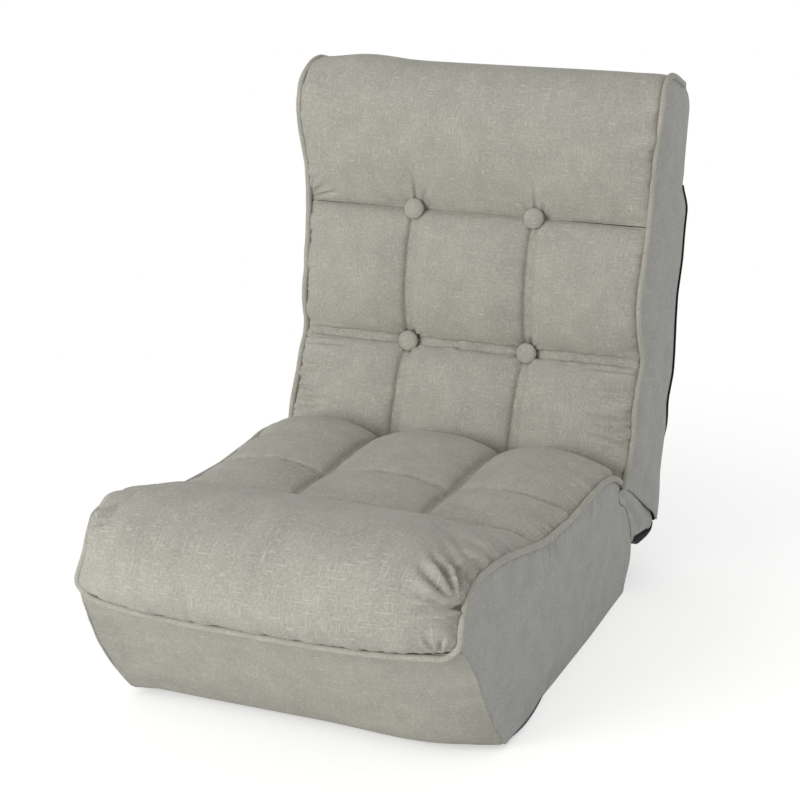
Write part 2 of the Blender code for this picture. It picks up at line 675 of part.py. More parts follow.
def build_seat(seat_axis, linen, linen_side, piping, black, foam, steel, web):
    under, top, rear = seat_outlines()
    round_all = under + top + rear
    last_under, last_top = len(under) - 1, len(under) + len(top) - 1
    count = len(round_all)
    foam_in = [QUILT_SINK + GAP if last_under <= i < last_top else CLOTH + GAP for i in range(count)]
    inner = inset(round_all, [CLOTH] * count)

    for side, sign in (("left", -1), ("right", 1)):
        made = plate(f"seat_side_panel_{side}", [round_all], SIDE_PANEL)
        place(made, seat_axis, linen_side, (sign * PANEL_X, 0.0, 0.0))

    closed, closed_in = round_all + round_all[:1], inner + inner[:1]
    made = plate("seat_bottom_cover", [strip(closed, closed_in, 0, 2)], 2 * FOAM_HALF)
    place(made, seat_axis, black)
    made = plate("seat_front_panel", [strip(closed, closed_in, 2, last_under)], 2 * FOAM_HALF)
    place(made, seat_axis, linen)
    rear_panel = plate("seat_rear_panel",
                       [strip(closed, closed_in, last_top, count, (QUILT_SINK + CLOTH, GAP))],
                       2 * FOAM_HALF)
    place(rear_panel, seat_axis, linen_side)

    split = HINGE_Z + SPLIT
    foam_outline = inset(round_all, foam_in)
    reach = SEAT_DEPTH + OVERRUN
    above = cutter_box("seat_foam_above", (-FOAM_HALF - OVERRUN, -reach, split - GAP),
                       (FOAM_HALF + OVERRUN, reach, SEAT_HEIGHT + OVERRUN))
    below = cutter_box("seat_foam_below", (-FOAM_HALF - OVERRUN, -reach, -OVERRUN),
                       (FOAM_HALF + OVERRUN, reach, split))
    base = plate("seat_foam_base", [foam_outline], 2 * FOAM_HALF)
    place(base, seat_axis, foam)
    boolean(base, above)
    upper = plate("seat_foam_top", [foam_outline], 2 * FOAM_HALF)
    place(upper, seat_axis, foam)
    boolean(upper, below)

    # The frame is a bent tube with a cross tube, and the sling goes round both side tubes
    rear_end = HINGE_BEHIND - RECLINE_RADIUS - OVERRUN
    front_end = rear_end - SEAT_FRAME_LENGTH
    run = bent([(-SEAT_TUBE_X, rear_end, HINGE_Z), (-SEAT_TUBE_X, front_end, HINGE_Z),
                (SEAT_TUBE_X, front_end, HINGE_Z), (SEAT_TUBE_X, rear_end, HINGE_Z)], 6 * TUBE_RADIUS)
    frame = place(tube("seat_frame", run, TUBE_RADIUS), seat_axis, steel)
    cross_y = rear_end - SEAT_FRAME_LENGTH * 0.45
    cross = [(-SEAT_TUBE_X, cross_y, HINGE_Z), (SEAT_TUBE_X, cross_y, HINGE_Z)]
    bar = as_cutter(tube("seat_cross_bar", cross, CROSS_TUBE_RADIUS, CUTTERS), "seat_cross_bar")
    boolean(frame, bar, "UNION")
    bored(frame, run, TUBE_RADIUS, "seat_frame_bore")
    bore = tube("seat_cross_bore", cross, CROSS_TUBE_RADIUS - TUBE_WALL, CUTTERS)
    boolean(frame, as_cutter(bore, "seat_cross_bore"))
    cleared = TUBE_RADIUS + GAP
    long = [Vector(p) for p in run]
    long[0] += (long[0] - long[1]).normalized() * OVERRUN
    long[-1] += (long[-1] - long[-2]).normalized() * OVERRUN
    groove = tube("seat_groove", [tuple(p) for p in long], cleared, CUTTERS)
    boolean(base, as_cutter(groove, "seat_groove"))
    sling_length = SEAT_FRAME_LENGTH * 0.5
    made = sling("seat_sling", SEAT_TUBE_X, sling_length, ((math.pi / 2, "Z"),))
    place(made, seat_axis, web, (0.0, cross_y, HINGE_Z))
    outer = TUBE_RADIUS + SLING + 2 * GAP
    pocket = cutter_box("seat_sling_pocket",
                        (-SEAT_TUBE_X - outer, cross_y - sling_length / 2 - GAP, HINGE_Z - outer),
                        (SEAT_TUBE_X + outer, cross_y + sling_length / 2 + GAP, split + OVERRUN))
    boolean(base, pocket)
    hinge_pockets(seat_axis, "seat", (base, upper, rear_panel), HINGE_X, RECLINE_RADIUS,
                  (HINGE_BEHIND, HINGE_Z), (-ARM_LENGTH, 0.0))

    line = trimmed([under[-1]] + top, PIPING_RADIUS, 0.0)
    stations, length = walk(line, 27)

    def height(x, spot, goal):
        ahead = -spot.x
        front = min(max((ahead - FRONT_CHANNEL) / CHANNEL_WIDTH, 0.0), 1.0)
        crown = SEAT_CROWN + (BOLSTER_CROWN - SEAT_CROWN) * front
        ends = rounded(goal / (2 * CHANNEL_WIDTH)) * tapered((length - goal) / SEAT_CREASE_TAPER)
        rows = max(valley(ahead - REAR_CHANNEL), valley(ahead - FRONT_CHANNEL))
        column = valley(abs(x) - COLUMN_X)
        tuft = rows * column
        return crown * edge_across(x) * ends * (1 - 0.6 * rows) * (1 - 0.55 * column * (1 - front)) * (
            1 - 0.6 * tuft)

    place(quilt("seat_quilt", stations, height), seat_axis, linen)

    welt = inset(round_all, [-PIPING_RADIUS - GAP] * count)[last_under:last_top + 1]
    side_run = [(PANEL_X, y, z) for y, z in welt[::-1]]
    run = side_run + [(-x, y, z) for x, y, z in side_run[::-1]]
    place(tube("seat_piping", run, PIPING_RADIUS, sides=1), seat_axis, piping)


def hinge_pockets(parent, prefix, blocks, x, radius, centre, arm):
    """Room in the foam for the turning hinge and for the arm of its toothed plate."""
    for side, sign in (("left", -1), ("right", 1)):
        low, high = sorted((sign * (x - YOKE_HALF - 2 * PIN_HEAD),
                            sign * (x + YOKE_HALF + 2 * TUBE_RADIUS + 2 * PIN_HEAD)))
        sweep = cutter_cylinder(f"{prefix}_hinge_room_{side}", radius * 1.42, low, high, *centre)
        arm_low, arm_high = sorted((sign * (x - RATCHET_THICKNESS), sign * (x + RATCHET_THICKNESS)))
        half = ARM_HALF_WIDTH + 2 * GAP
        ends = sorted(((centre[0], centre[1]), (centre[0] + arm[0], centre[1] + arm[1])))
        low_y, high_y = ends[0][0], ends[1][0]
        low_z, high_z = sorted((ends[0][1], ends[1][1]))
        slot = cutter_box(f"{prefix}_arm_room_{side}",
                          (arm_low, low_y - (half if low_y == high_y else 2 * GAP), low_z - (
                              half if low_z == high_z else 2 * GAP)),
                          (arm_high, high_y + (half if low_y == high_y else 2 * GAP), high_z + (
                              half if low_z == high_z else 2 * GAP)))
        for block in blocks:
            boolean(block, sweep)
            boolean(block, slot)


def yoke_pockets(prefix, blocks, x, yoke_length):
    """Room in the foam for the yoke beside its tube."""
    for side, sign in (("left", -1), ("right", 1)):
        low, high = sorted((sign * (x - YOKE_HALF - GAP), sign * (x + YOKE_HALF + GAP)))
        wide = RECLINE_RADIUS * 0.7
        slot = cutter_box(f"{prefix}_yoke_room_{side}", (low, -wide, 0.0),
                          (high, 1.5 * wide, yoke_length + 2 * GAP))
        for block in blocks:
            boolean(block, slot)


def leg_ahead(up):
    """How far the back's leg tube stands ahead of the recline axis at a height."""
    return up * math.tan(LEG_SLOPE)


def build_back(back_axis, linen, linen_side, piping, black, foam, steel, web):
    front, parting, rear, seam = back_outline()
    round_all = front + parting + rear + seam
    count = len(round_all)
    front_last = len(front)
    rear_first = len(front) + len(parting)
    for side, sign in (("left", -1), ("right", 1)):
        made = plate(f"back_side_panel_{side}", [round_all], SIDE_PANEL)
        place(made, back_axis, linen_side, (sign * PANEL_X, 0.0, 0.0))
    inner = inset(round_all, [CLOTH] * count)
    made = plate("back_rear_cover", [strip(round_all, inner, rear_first, rear_first + 2)], 2 * FOAM_HALF)
    place(made, back_axis, black)

    foam_in = [QUILT_SINK + GAP if i < front_last else GAP if i < rear_first else CLOTH + GAP
               for i in range(count)]
    foam_outline = inset(round_all, foam_in)
    split = SPLIT
    tall = BACK_LENGTH
    blocks = []
    for name, side_of in (("back_foam_front", 1), ("back_foam_rear", -1)):
        block = plate(name, [foam_outline], 2 * FOAM_HALF)
        place(block, back_axis, foam)
        low, high = sorted((-split - (GAP if side_of > 0 else 0.0), -split + side_of * CHAIR_WIDTH))
        other = cutter_box(f"{name}_away", (-FOAM_HALF - OVERRUN, low, -tall),
                           (FOAM_HALF + OVERRUN, high, 2 * tall))
        other.rotation_euler = (LEG_SLOPE, 0.0, 0.0)
        boolean(block, other)
        blocks.append(block)

    # Two leg tubes with two cross bars, and a sling round the legs
    foot, head = RECLINE_RADIUS, HEAD_HINGE_UP - HEAD_RATCHET_RADIUS * 1.5
    legs = [[(sign * BACK_TUBE_X, -leg_ahead(up), up) for up in (foot, head)] for sign in (-1, 1)]
    frame = place(tube("back_frame", legs[0], TUBE_RADIUS), back_axis, steel)
    other_leg = as_cutter(tube("back_leg_right", legs[1], TUBE_RADIUS, CUTTERS), "back_leg_right")
    middle = (foot + head) / 2
    sling_length = (head - foot) * 0.45
    bars = []
    for name, up in (("back_cross_bar_lower", foot + (head - foot) * 0.22),
                     ("back_cross_bar_upper", head - (head - foot) * 0.12)):
        ends = [(-BACK_TUBE_X, -leg_ahead(up), up), (BACK_TUBE_X, -leg_ahead(up), up)]
        bars.append((name, ends))
        boolean(frame, as_cutter(tube(name, ends, CROSS_TUBE_RADIUS, CUTTERS), name), "UNION")
        groove = as_cutter(tube(f"{name}_groove", ends, TUBE_RADIUS + GAP, CUTTERS), f"{name}_groove")
        boolean(blocks[1], groove)
    boolean(frame, other_leg, "UNION")
    for name, ends in bars:
        bore = tube(f"{name}_bore", ends, CROSS_TUBE_RADIUS - TUBE_WALL, CUTTERS)
        boolean(frame, as_cutter(bore, f"{name}_bore"))
    for leg, side in zip(legs, ("left", "right")):
        bored(frame, leg, TUBE_RADIUS, f"back_leg_bore_{side}")
        long = [Vector(p) for p in leg]
        long[0] += (long[0] - long[1]).normalized() * OVERRUN
        long[-1] += (long[-1] - long[-2]).normalized() * OVERRUN
        made = tube(f"back_groove_{side}", [tuple(p) for p in long], TUBE_RADIUS + GAP, CUTTERS)
        boolean(blocks[1], as_cutter(made, f"back_groove_{side}"))
    made = sling("back_sling", BACK_TUBE_X, sling_length, ((-math.pi / 2, "Y"), (-math.pi / 2, "Z")))
    place(made, back_axis, web, (0.0, -leg_ahead(middle), middle), (LEG_SLOPE, 0.0, 0.0))
    outer = TUBE_RADIUS + SLING + 2 * GAP
    pocket = cutter_box("back_sling_pocket", (-BACK_TUBE_X - outer, -outer - OVERRUN, -sling_length / 2 - GAP),
                        (BACK_TUBE_X + outer, outer, sling_length / 2 + GAP))
    pocket.location = (0.0, -leg_ahead(middle), middle)
    pocket.rotation_euler = (LEG_SLOPE, 0.0, 0.0)
    boolean(blocks[1], pocket)
    hinge_pockets(back_axis, "back", blocks, HINGE_X, RECLINE_RADIUS, (0.0, 0.0), (0.0, RECLINE_RADIUS))
    yoke_pockets("back", blocks, HINGE_X, YOKE_LENGTH)
    hinge_pockets(back_axis, "head_foot", blocks, HEAD_HINGE_X, HEAD_RATCHET_RADIUS,
                  (-HEAD_HINGE_AHEAD, HEAD_HINGE_UP), (0.0, -HEAD_ARM_LENGTH))

    line = trimmed(front + parting[:1], PIPING_RADIUS, PIPING_RADIUS)
    stations, length = walk(line, 25)

    def height(x, spot, goal):
        ends = tapered(goal / BACK_CREASE_TAPER) * tapered((length - goal) / PARTING_TAPER)
        row = valley(spot.y - LOWER_BUTTON_UP)
        column = valley(abs(x) - COLUMN_X)
        crown = BACK_CROWN * edge_across(x) * ends * (1 - 0.6 * row) * (1 - 0.5 * column)
        return crown - TUFT_PIT * row * column * edge_across(x)

    cushion = quilt("back_quilt", stations, height)
    place(cushion, back_axis, linen)
    place_buttons(back_axis, cushion, linen)

    welt = inset(round_all, [-PIPING_RADIUS - GAP] * count)[:front_last]
    welt = trimmed(welt, 2 * PIPING_RADIUS, 0.0)
    for side, sign in (("left", -1), ("right", 1)):
        run = [(sign * PANEL_X, y, z) for y, z in welt]
        place(tube(f"back_piping_{side}", run, PIPING_RADIUS, sides=1), back_axis, piping)


def place_buttons(back_axis, cushion, linen):
    """Four covered buttons: two seated in the quilt, two on short cords in the parting."""
    dome = [(0.0, BUTTON_HEIGHT), (BUTTON_RADIUS * 0.5, BUTTON_HEIGHT * 0.93),
            (BUTTON_RADIUS * 0.83, BUTTON_HEIGHT * 0.68), (BUTTON_RADIUS, BUTTON_HEIGHT * 0.3),
            (BUTTON_RADIUS * 0.93, 0.0)]
    front = [Vector(p) for p in back_front_line()]
    k = max(i for i, point in enumerate(front) if point.y <= LOWER_BUTTON_UP)
    share = (LOWER_BUTTON_UP - front[k].y) / (front[k + 1].y - front[k].y)
    floor = front[k].lerp(front[k + 1], share).x + BUTTON_DEPTH
    # An upper button stands where the opening of the parting is as wide as the button
    root = parting_root()
    back_slope = math.tan(PARTING_SLOPE + PARTING_OPEN)
    head_slope = math.tan(PARTING_SLOPE - PARTING_OPEN)
    ahead = 2 * BUTTON_RADIUS / (back_slope - head_slope)
    upper = (root.x - ahead - GAP, root.y - ahead * (back_slope + head_slope) / 2)
    cord = root.x - (root.y - upper[1]) / back_slope - upper[0] - CORD_RADIUS * 2
    for side, sign in (("left", -1), ("right", 1)):
        made = turned(f"button_lower_{side}", dome + [(0.0, 0.0)], 20)
        place(made, back_axis, linen, (sign * COLUMN_X, floor - GAP, LOWER_BUTTON_UP), (math.pi / 2, 0.0, 0.0))
        bpy.ops.mesh.primitive_cylinder_add(vertices=20, radius=BUTTON_RADIUS + GAP, depth=BACK_CROWN)
        seat = as_cutter(bpy.context.object, f"button_seat_{side}")
        seat.parent = back_axis
        seat.location = (sign * COLUMN_X, floor - BACK_CROWN / 2, LOWER_BUTTON_UP)
        seat.rotation_euler = (math.pi / 2, 0.0, 0.0)
        boolean(cushion, seat)
        profile = dome + [(CORD_RADIUS, 0.0), (CORD_RADIUS, -cord), (0.0, -cord)]
        made = turned(f"button_upper_{side}", profile, 20)
        place(made, back_axis, linen, (sign * COLUMN_X, *upper), (math.pi / 2, 0.0, 0.0))


def build_head(head_axis, linen, linen_side, piping, foam, steel):
    front, rear_top, raised = head_outline()
    round_all = from_head_axis(front + [rear_top] + raised)
    count = len(round_all)
    front_last = len(front) - 1
    for side, sign in (("left", -1), ("right", 1)):
        made = plate(f"head_side_panel_{side}", [round_all], SIDE_PANEL)
        place(made, head_axis, linen_side, (sign * PANEL_X, 0.0, 0.0))
    inner = inset(round_all, [CLOTH] * count)
    made = plate("head_rear_panel",
                 [strip(round_all, inner, front_last, front_last + 2)], 2 * FOAM_HALF)
    place(made, head_axis, linen_side)

    foam_in = [QUILT_SINK + GAP if i < front_last else CLOTH + GAP if i < count - 2 else GAP
               for i in range(count)]
    foam_outline = inset(round_all, foam_in)
    blocks = []
    for name, side_of in (("head_foam_front", 1), ("head_foam_rear", -1)):
        block = plate(name, [foam_outline], 2 * FOAM_HALF)
        place(block, head_axis, foam)
        low, high = sorted((-SPLIT - (GAP if side_of > 0 else 0.0), -SPLIT + side_of * CHAIR_WIDTH))
        other = cutter_box(f"{name}_away", (-FOAM_HALF - OVERRUN, low, -BACK_LENGTH),
                           (FOAM_HALF + OVERRUN, high, BACK_LENGTH))
        boolean(block, other)
        blocks.append(block)

    foot = HEAD_RATCHET_RADIUS * 1.3
    top = HEAD_FRAME_SHARE * HEAD_HEIGHT
    run = bent([(-HEAD_TUBE_X, 0.0, foot), (-HEAD_TUBE_X, 0.0, top), (HEAD_TUBE_X, 0.0, top),
                (HEAD_TUBE_X, 0.0, foot)], HEAD_BEND_SHARE * (top - foot))
    frame = place(tube("head_frame", run, TUBE_RADIUS), head_axis, steel)
    bored(frame, run, TUBE_RADIUS, "head_frame_bore")
    long = [Vector(p) for p in run]
    long[0] += (long[0] - long[1]).normalized() * OVERRUN
    long[-1] += (long[-1] - long[-2]).normalized() * OVERRUN
    groove = tube("head_groove", [tuple(p) for p in long], TUBE_RADIUS + GAP, CUTTERS)
    boolean(blocks[1], as_cutter(groove, "head_groove"))
    hinge_pockets(head_axis, "head", blocks, HEAD_HINGE_X, HEAD_RATCHET_RADIUS, (0.0, 0.0),
                  (0.0, HEAD_RATCHET_RADIUS))
    yoke_pockets("head", blocks, HEAD_HINGE_X, HEAD_YOKE_LENGTH)

    line = trimmed(from_head_axis(front), PIPING_RADIUS, 2 * GAP)
    stations, length = walk(line, 21)

    def height(x, spot, goal):
        ends = rounded(goal / CHANNEL_WIDTH) * rounded((length - goal) / HEAD_TOP_ROUND)
        dent = valley(abs(x) - COLUMN_X) * math.exp(-(goal / (2 * CHANNEL_WIDTH)) ** 2)
        return HEAD_CROWN * edge_across(x) * ends * (1 - 0.25 * dent)

    place(quilt("head_quilt", stations, height), head_axis, linen)

    # The piping follows the side panel up its front and back over its top
    welt = inset(round_all, [-PIPING_RADIUS - GAP] * count)[:front_last + 2]
    welt = trimmed(welt, 2 * PIPING_RADIUS, 2 * PIPING_RADIUS)
    for side, sign in (("left", -1), ("right", 1)):
        run = [(sign * PANEL_X, y, z) for y, z in welt]
        place(tube(f"head_piping_{side}", run, PIPING_RADIUS, sides=1), head_axis, piping)


def build_fold(back_axis, linen, black):
    """The cloth of the fold between seat and back: two gussets, crease and underside."""
    under, top, rear = seat_outlines()
    front, parting, back_rear, seam = back_outline()
    seat_rear = [seat_to_back(p) for p in rear[:4]]
    cover = [(a * BACK_BEHIND, b * HINGE_Z) for a, b in UNDER_COVER_SHARES]
    outline = [front[0]] + seam[::-1] + cover + seat_rear[::-1][1:]
    outline = inset(outline, [2 * GAP] * len(outline))
    for side, sign in (("left", -1), ("right", 1)):
        made = plate(f"hinge_gusset_{side}", [outline], SIDE_PANEL)
        place(made, back_axis, linen, (sign * PANEL_X, 0.0, 0.0))
    made = plate("underside_cover", [ribbon(cover, CLOTH)], 2 * FOAM_HALF)
    place(made, back_axis, black)

    top_rear, wall = Vector(seat_to_back(top[-1])), Vector(seat_rear[0])
    down = (wall - top_rear).normalized()
    start_at = top_rear.lerp(wall, CREASE_SHARE) + Vector((-down.y, down.x)) * 2 * GAP
    foot, after = Vector(front[0]), Vector(seam[-1])
    along = (after - foot).normalized()
    end_at = foot + along * CREASE_SAG + Vector((along.y, -along.x)) * (CLOTH + 2 * GAP)
    sag = (start_at + end_at) / 2 + down * CREASE_SAG
    made = plate("crease_panel", [ribbon([start_at, sag, end_at], CLOTH)], 2 * FOAM_HALF)
    place(made, back_axis, linen)


def build_hinges(seat_axis, back_axis, head_axis, bright, steel):
    for side, sign in (("left", -1), ("right", 1)):
        ratchet_hinge(
            f"recline_{side}",
            (f"ratchet_plate_{side}", f"hinge_pin_{side}", f"hinge_yoke_{side}", f"pawl_{side}",
             f"pawl_spring_{side}"),
            sign, HINGE_X, RECLINE_RADIUS, RECLINE_TOOTH, PIN_RADIUS,
            (-4 * TOOTH_PITCH, 21 * TOOTH_PITCH),
            (-math.pi / 2, ARM_LENGTH, (HINGE_BEHIND, HINGE_Z)),
            YOKE_LENGTH, seat_axis, back_axis, BACK_LEAN, bright, steel)
        ratchet_hinge(
            f"head_{side}",
            (f"head_ratchet_{side}", f"head_pin_{side}", f"head_yoke_{side}", f"head_pawl_{side}",
             f"head_pawl_spring_{side}"),
            sign, HEAD_HINGE_X, HEAD_RATCHET_RADIUS, HEAD_TOOTH, HEAD_PIN_RADIUS,
            (-8 * TOOTH_PITCH, 3 * TOOTH_PITCH),
            (math.pi, HEAD_ARM_LENGTH, (-HEAD_HINGE_AHEAD, HEAD_HINGE_UP)),
            HEAD_YOKE_LENGTH, back_axis, head_axis, 0.0, bright, steel)


build()
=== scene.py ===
"""How the floor chair looks: its covers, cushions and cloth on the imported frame."""
import math

import bmesh
import bpy
import numpy as np
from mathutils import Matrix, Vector
from mathutils.geometry import delaunay_2d_cdt


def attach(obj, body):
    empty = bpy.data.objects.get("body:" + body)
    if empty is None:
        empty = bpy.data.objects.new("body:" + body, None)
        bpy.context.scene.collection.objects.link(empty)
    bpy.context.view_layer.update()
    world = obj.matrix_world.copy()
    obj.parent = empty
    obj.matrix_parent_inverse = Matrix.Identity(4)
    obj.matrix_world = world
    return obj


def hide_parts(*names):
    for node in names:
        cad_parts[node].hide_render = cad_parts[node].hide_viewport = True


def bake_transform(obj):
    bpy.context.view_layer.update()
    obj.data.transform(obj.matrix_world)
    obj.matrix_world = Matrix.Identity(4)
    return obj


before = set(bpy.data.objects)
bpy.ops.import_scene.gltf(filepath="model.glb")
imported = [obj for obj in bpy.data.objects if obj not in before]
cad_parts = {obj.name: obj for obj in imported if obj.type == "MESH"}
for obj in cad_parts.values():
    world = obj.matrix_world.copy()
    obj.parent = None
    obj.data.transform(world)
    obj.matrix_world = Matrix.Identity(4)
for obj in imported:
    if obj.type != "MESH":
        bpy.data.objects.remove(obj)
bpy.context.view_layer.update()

scene = bpy.context.scene


# Studio
# A plain pale floor under soft lamps: a large one high on the left in front, a weak
# one on the right, and an even sky. The camera stands where the photographer stood.
CAMERA_PLACE = (1.02, -2.43534, 1.16)
CAMERA_TURN = (math.radians(73.0), 0.0, math.radians(22.7))
LENS = 87.2                   # millimetres, on a sensor 36 mm wide
WHITE = (1.0, 1.0, 1.0, 1.0)
SKY_LEVEL = 0.52
FLOOR_PAINT = (0.86, 0.86, 0.85, 1.0)
FLOOR_REACH = 30.0
FLOOR_LIFT = 0.50             # how much brighter the camera sees the floor than it is lit
FLOOR_FADE = (0.75, 1.5)      # from the middle: here the floor fades into white
# name, place, aim, width, watts, colour
LAMPS = (
    ("key_lamp", (-1.4, -3.3, 1.28), (0.0, 0.0, 0.25), 2.0, 59.0, (1.0, 0.99, 0.97)),
    ("side_lamp", (2.3, 1.0, 0.9), (0.1, 0.3, 0.35), 1.4, 4.0, (0.97, 0.99, 1.0)),
)


def placed(name, data):
    """A new object in the scene, at the origin."""
    made = bpy.data.objects.new(name, data)
    scene.collection.objects.link(made)
    return made


def wired(tree, kind, feeds=None, **settings):
    """A node with its settings; each input is fed by another's socket or set to a value."""
    made = tree.nodes.new(kind)
    for name, value in settings.items():
        setattr(made, name, value)
    for slot, value in (feeds or {}).items():
        if isinstance(value, bpy.types.NodeSocket):
            tree.links.new(value, made.inputs[slot])
        else:
            made.inputs[slot].default_value = value
    return made


def seen_as(tree, shader, background):
    """The background to the camera, in gloss and through glass, the shader to all else."""
    path = wired(tree, "ShaderNodeLightPath").outputs
    direct = wired(tree, "ShaderNodeMath", {0: path["Is Camera Ray"], 1: path["Is Glossy Ray"]},
                   operation="MAXIMUM")
    any_ray = wired(tree, "ShaderNodeMath",
                    {0: direct.outputs[0], 1: path["Is Transmission Ray"]},
                    operation="MAXIMUM")
    return wired(tree, "ShaderNodeMixShader",
                 {0: any_ray.outputs[0], 1: shader.outputs[0], 2: background.outputs[0]})


def sky():
    world = bpy.data.worlds.new("studio_sky")
    world.use_nodes = True
    tree = world.node_tree
    tree.nodes.clear()
    even = wired(tree, "ShaderNodeBackground", {"Color": WHITE, "Strength": SKY_LEVEL})
    white = wired(tree, "ShaderNodeBackground", {"Color": WHITE})
    wired(tree, "ShaderNodeOutputWorld", {"Surface": seen_as(tree, even, white).outputs[0]})
    scene.world = world


def floor():
    """Near the chair the camera sees the paint with its shadow, further out plain white."""
    mesh = bpy.data.meshes.new("studio_floor")
    corners = ((-1, -1), (1, -1), (1, 1), (-1, 1))
    mesh.from_pydata([(x * FLOOR_REACH, y * FLOOR_REACH, 0) for x, y in corners],
                     [], [(0, 1, 2, 3)])
    made = placed("studio_floor", mesh)
    paint = bpy.data.materials.new("studio_white")
    paint.use_nodes = True
    tree = paint.node_tree
    tree.nodes.clear()
    pale = wired(tree, "ShaderNodeBsdfDiffuse", {"Color": FLOOR_PAINT})
    lift = wired(tree, "ShaderNodeEmission", {"Strength": FLOOR_LIFT})
    near = wired(tree, "ShaderNodeAddShader", {0: pale.outputs[0], 1: lift.outputs[0]})
    white = wired(tree, "ShaderNodeEmission")
    place = wired(tree, "ShaderNodeTexCoord")
    away = wired(tree, "ShaderNodeVectorMath", {0: place.outputs["Object"]}, operation="LENGTH")
    fade = wired(tree, "ShaderNodeMapRange",
                 {"Value": away.outputs["Value"], "From Min": FLOOR_FADE[0],
                  "From Max": FLOOR_FADE[1]}, interpolation_type="SMOOTHSTEP")
    shown = wired(tree, "ShaderNodeMixShader",
                  {0: fade.outputs["Result"], 1: near.outputs[0], 2: white.outputs[0]})
    wired(tree, "ShaderNodeOutputMaterial",
          {"Surface": seen_as(tree, pale, shown).outputs[0]})
    mesh.materials.append(paint)


def lamp(name, place, aim, size, power, colour):
    data = bpy.data.lights.new(name, "AREA")
    data.shape = "DISK"
    data.size = size
    data.energy = power
    data.color = colour
    made = placed(name, data)
    made.location = place
    made.rotation_euler = (Vector(aim) - Vector(place)).to_track_quat("-Z", "Y").to_euler()


def camera():
    data = bpy.data.cameras.new("photographer")
    data.sensor_width = 36.0
    data.lens = LENS
    data.clip_start, data.clip_end = 0.05, 50.0
    scene.camera = placed("photographer", data)
    scene.camera.location = CAMERA_PLACE
    scene.camera.rotation_euler = CAMERA_TURN


sky()
floor()
for one in LAMPS:
    lamp(*one)
camera()
scene.view_settings.view_transform = "Standard"


# Seat cushion
# A quilt of linen-look cloth over wadding, sewn along the piping at its front and sides.
# Two seams across it and two along its rear half draw it down to the foam, so that it
# swells between them, with gathers where the cloth is eased into the side seam.
FOLD_Y = 0.21466              # where seat and back meet; the seat's places are from there
SEAT_LINE = ((-0.679, 0.202), (-0.678, 0.220), (-0.671, 0.245), (-0.659, 0.262), (-0.638, 0.271),
             (-0.600, 0.272), (-0.530, 0.264), (-0.449, 0.246), (-0.385, 0.232), (-0.310, 0.226),
             (-0.240, 0.224), (-0.170, 0.227), (-0.100, 0.225), (-0.055, 0.215), (-0.026, 0.200))
SEAT_HALF = 0.2728            # half the width of the cushion at its side seam
SEAT_BOW = (-0.013, -0.0115)  # the front seam bows forward and sags in its middle
SEAT_BOW_OVER = 0.14
SEAT_SEAMS = (-0.260, -0.390)   # seams across
COLUMN = 0.0975               # seams along, from the middle
SEAT_CROWN, BOLSTER_CROWN = 0.040, 0.047
CROSS_SEAM_DROP = 0.30        # how far the rear seam across draws the puffs down
BOLSTER_RISE = 0.21           # from its rear seam to the top of the bolster
BOLSTER_ROUND = 0.075         # how far from the front seam the bolster is full
REAR_ROUND = 0.055            # and the rear row from the fold
SEAM_LEVEL = 0.27             # height of the cloth on a seam, as a share of the crown
TUFT_PIT, TUFT_OVER = 0.009, 0.030   # the dips where the bolster seam meets a column
PUFF = 0.078                  # how far from its seams a puff is full
OVERHANG = {-1: 0.009, 1: 0.004}     # how far the bolster's ends bulge over their seams
SEAT_SINK = 0.012             # how deep the cushion's underside lies below its seams
SEAM_WIDTH = 0.024
CLOTH_STEP = 0.0056
ROW_STEP, COLUMN_STEP = CLOTH_STEP * 0.74, CLOTH_STEP * 1.2
CLOSE_ROWS = (0.0022, 0.0050)        # extra rows of points close beside a seam
CLOSE_COLUMNS = 0.0135        # columns nearer a seam than this are evened out on the bolster

# The sides stand in near the front corners, most of all at this edge.
FRONT_EDGE = ((-0.679, 0.202), (-0.628, 0.157), (-0.601, 0.114), (-0.563, 0.065),
              (-0.500, 0.010))
SEAT_DRAWN = {-1: 0.025, 1: 0.001}   # how far in at the left and right corner
SEAT_DRAWN_OVER = 0.105       # how far from the edge that ends
DRAWN_LOW = 0.004             # and how much further in they stand at the floor
LEFT_CORNER = {-1: 0.022, 1: 0.0}    # the top of the left corner is pulled in on its own
LEFT_LIFT, LEFT_LIFT_AT, LEFT_LIFT_OVER = 0.009, -0.085, 0.045   # the left rear edge rides up

LINEN = (0.451, 0.442, 0.388)
LINEN_DEPTH = 0.29            # how far the weave's shades go from its colour
PALEST = 0.85
SLUB_FROM, SLUB_GAIN = 0.70, 1.5     # which streaks are slubs, and how much they stand out

# A sewn seam: height and width of its ridge, depth and width of the hollow round it.
RIDGE, RIDGE_WIDE = 0.0068, 0.0017
HOLLOW, HOLLOW_WIDE = 0.0058, 0.0060
# Folds out of a gathered seam: width, share of the depth, share of the reach.
GATHERS = ((0.0075, 0.5, 0.35), (0.0135, 0.9, 0.7), (0.026, 1.0, 1.2))
FAN_NARROW, FAN_SPREAD = 0.0016, 0.032   # width of a fan's fold at its point, and its growth
STAR = 0.052                  # the corner folds spread from here along the right seam
# Direction in degrees, length, share of the depth.
SEAT_FOLDS = ((186, 0.072, 1.0), (172, 0.062, 1.1), (155, 0.074, 1.1), (139, 0.082, 1.1),
              (122, 0.070, 0.9), (106, 0.055, 0.7))
FOOT_FOLDS_AT = (0.024, 0.002)   # in from the right seam and up from the front one
FOOT_FOLDS = ((115, 0.034, 0.7), (75, 0.028, 0.6))
LEFT_STAR = 0.07              # and those of the left corner from here along its seam
LEFT_FOLDS = ((170, 0.06, 0.6), (150, 0.05, 0.5), (128, 0.05, 0.6))


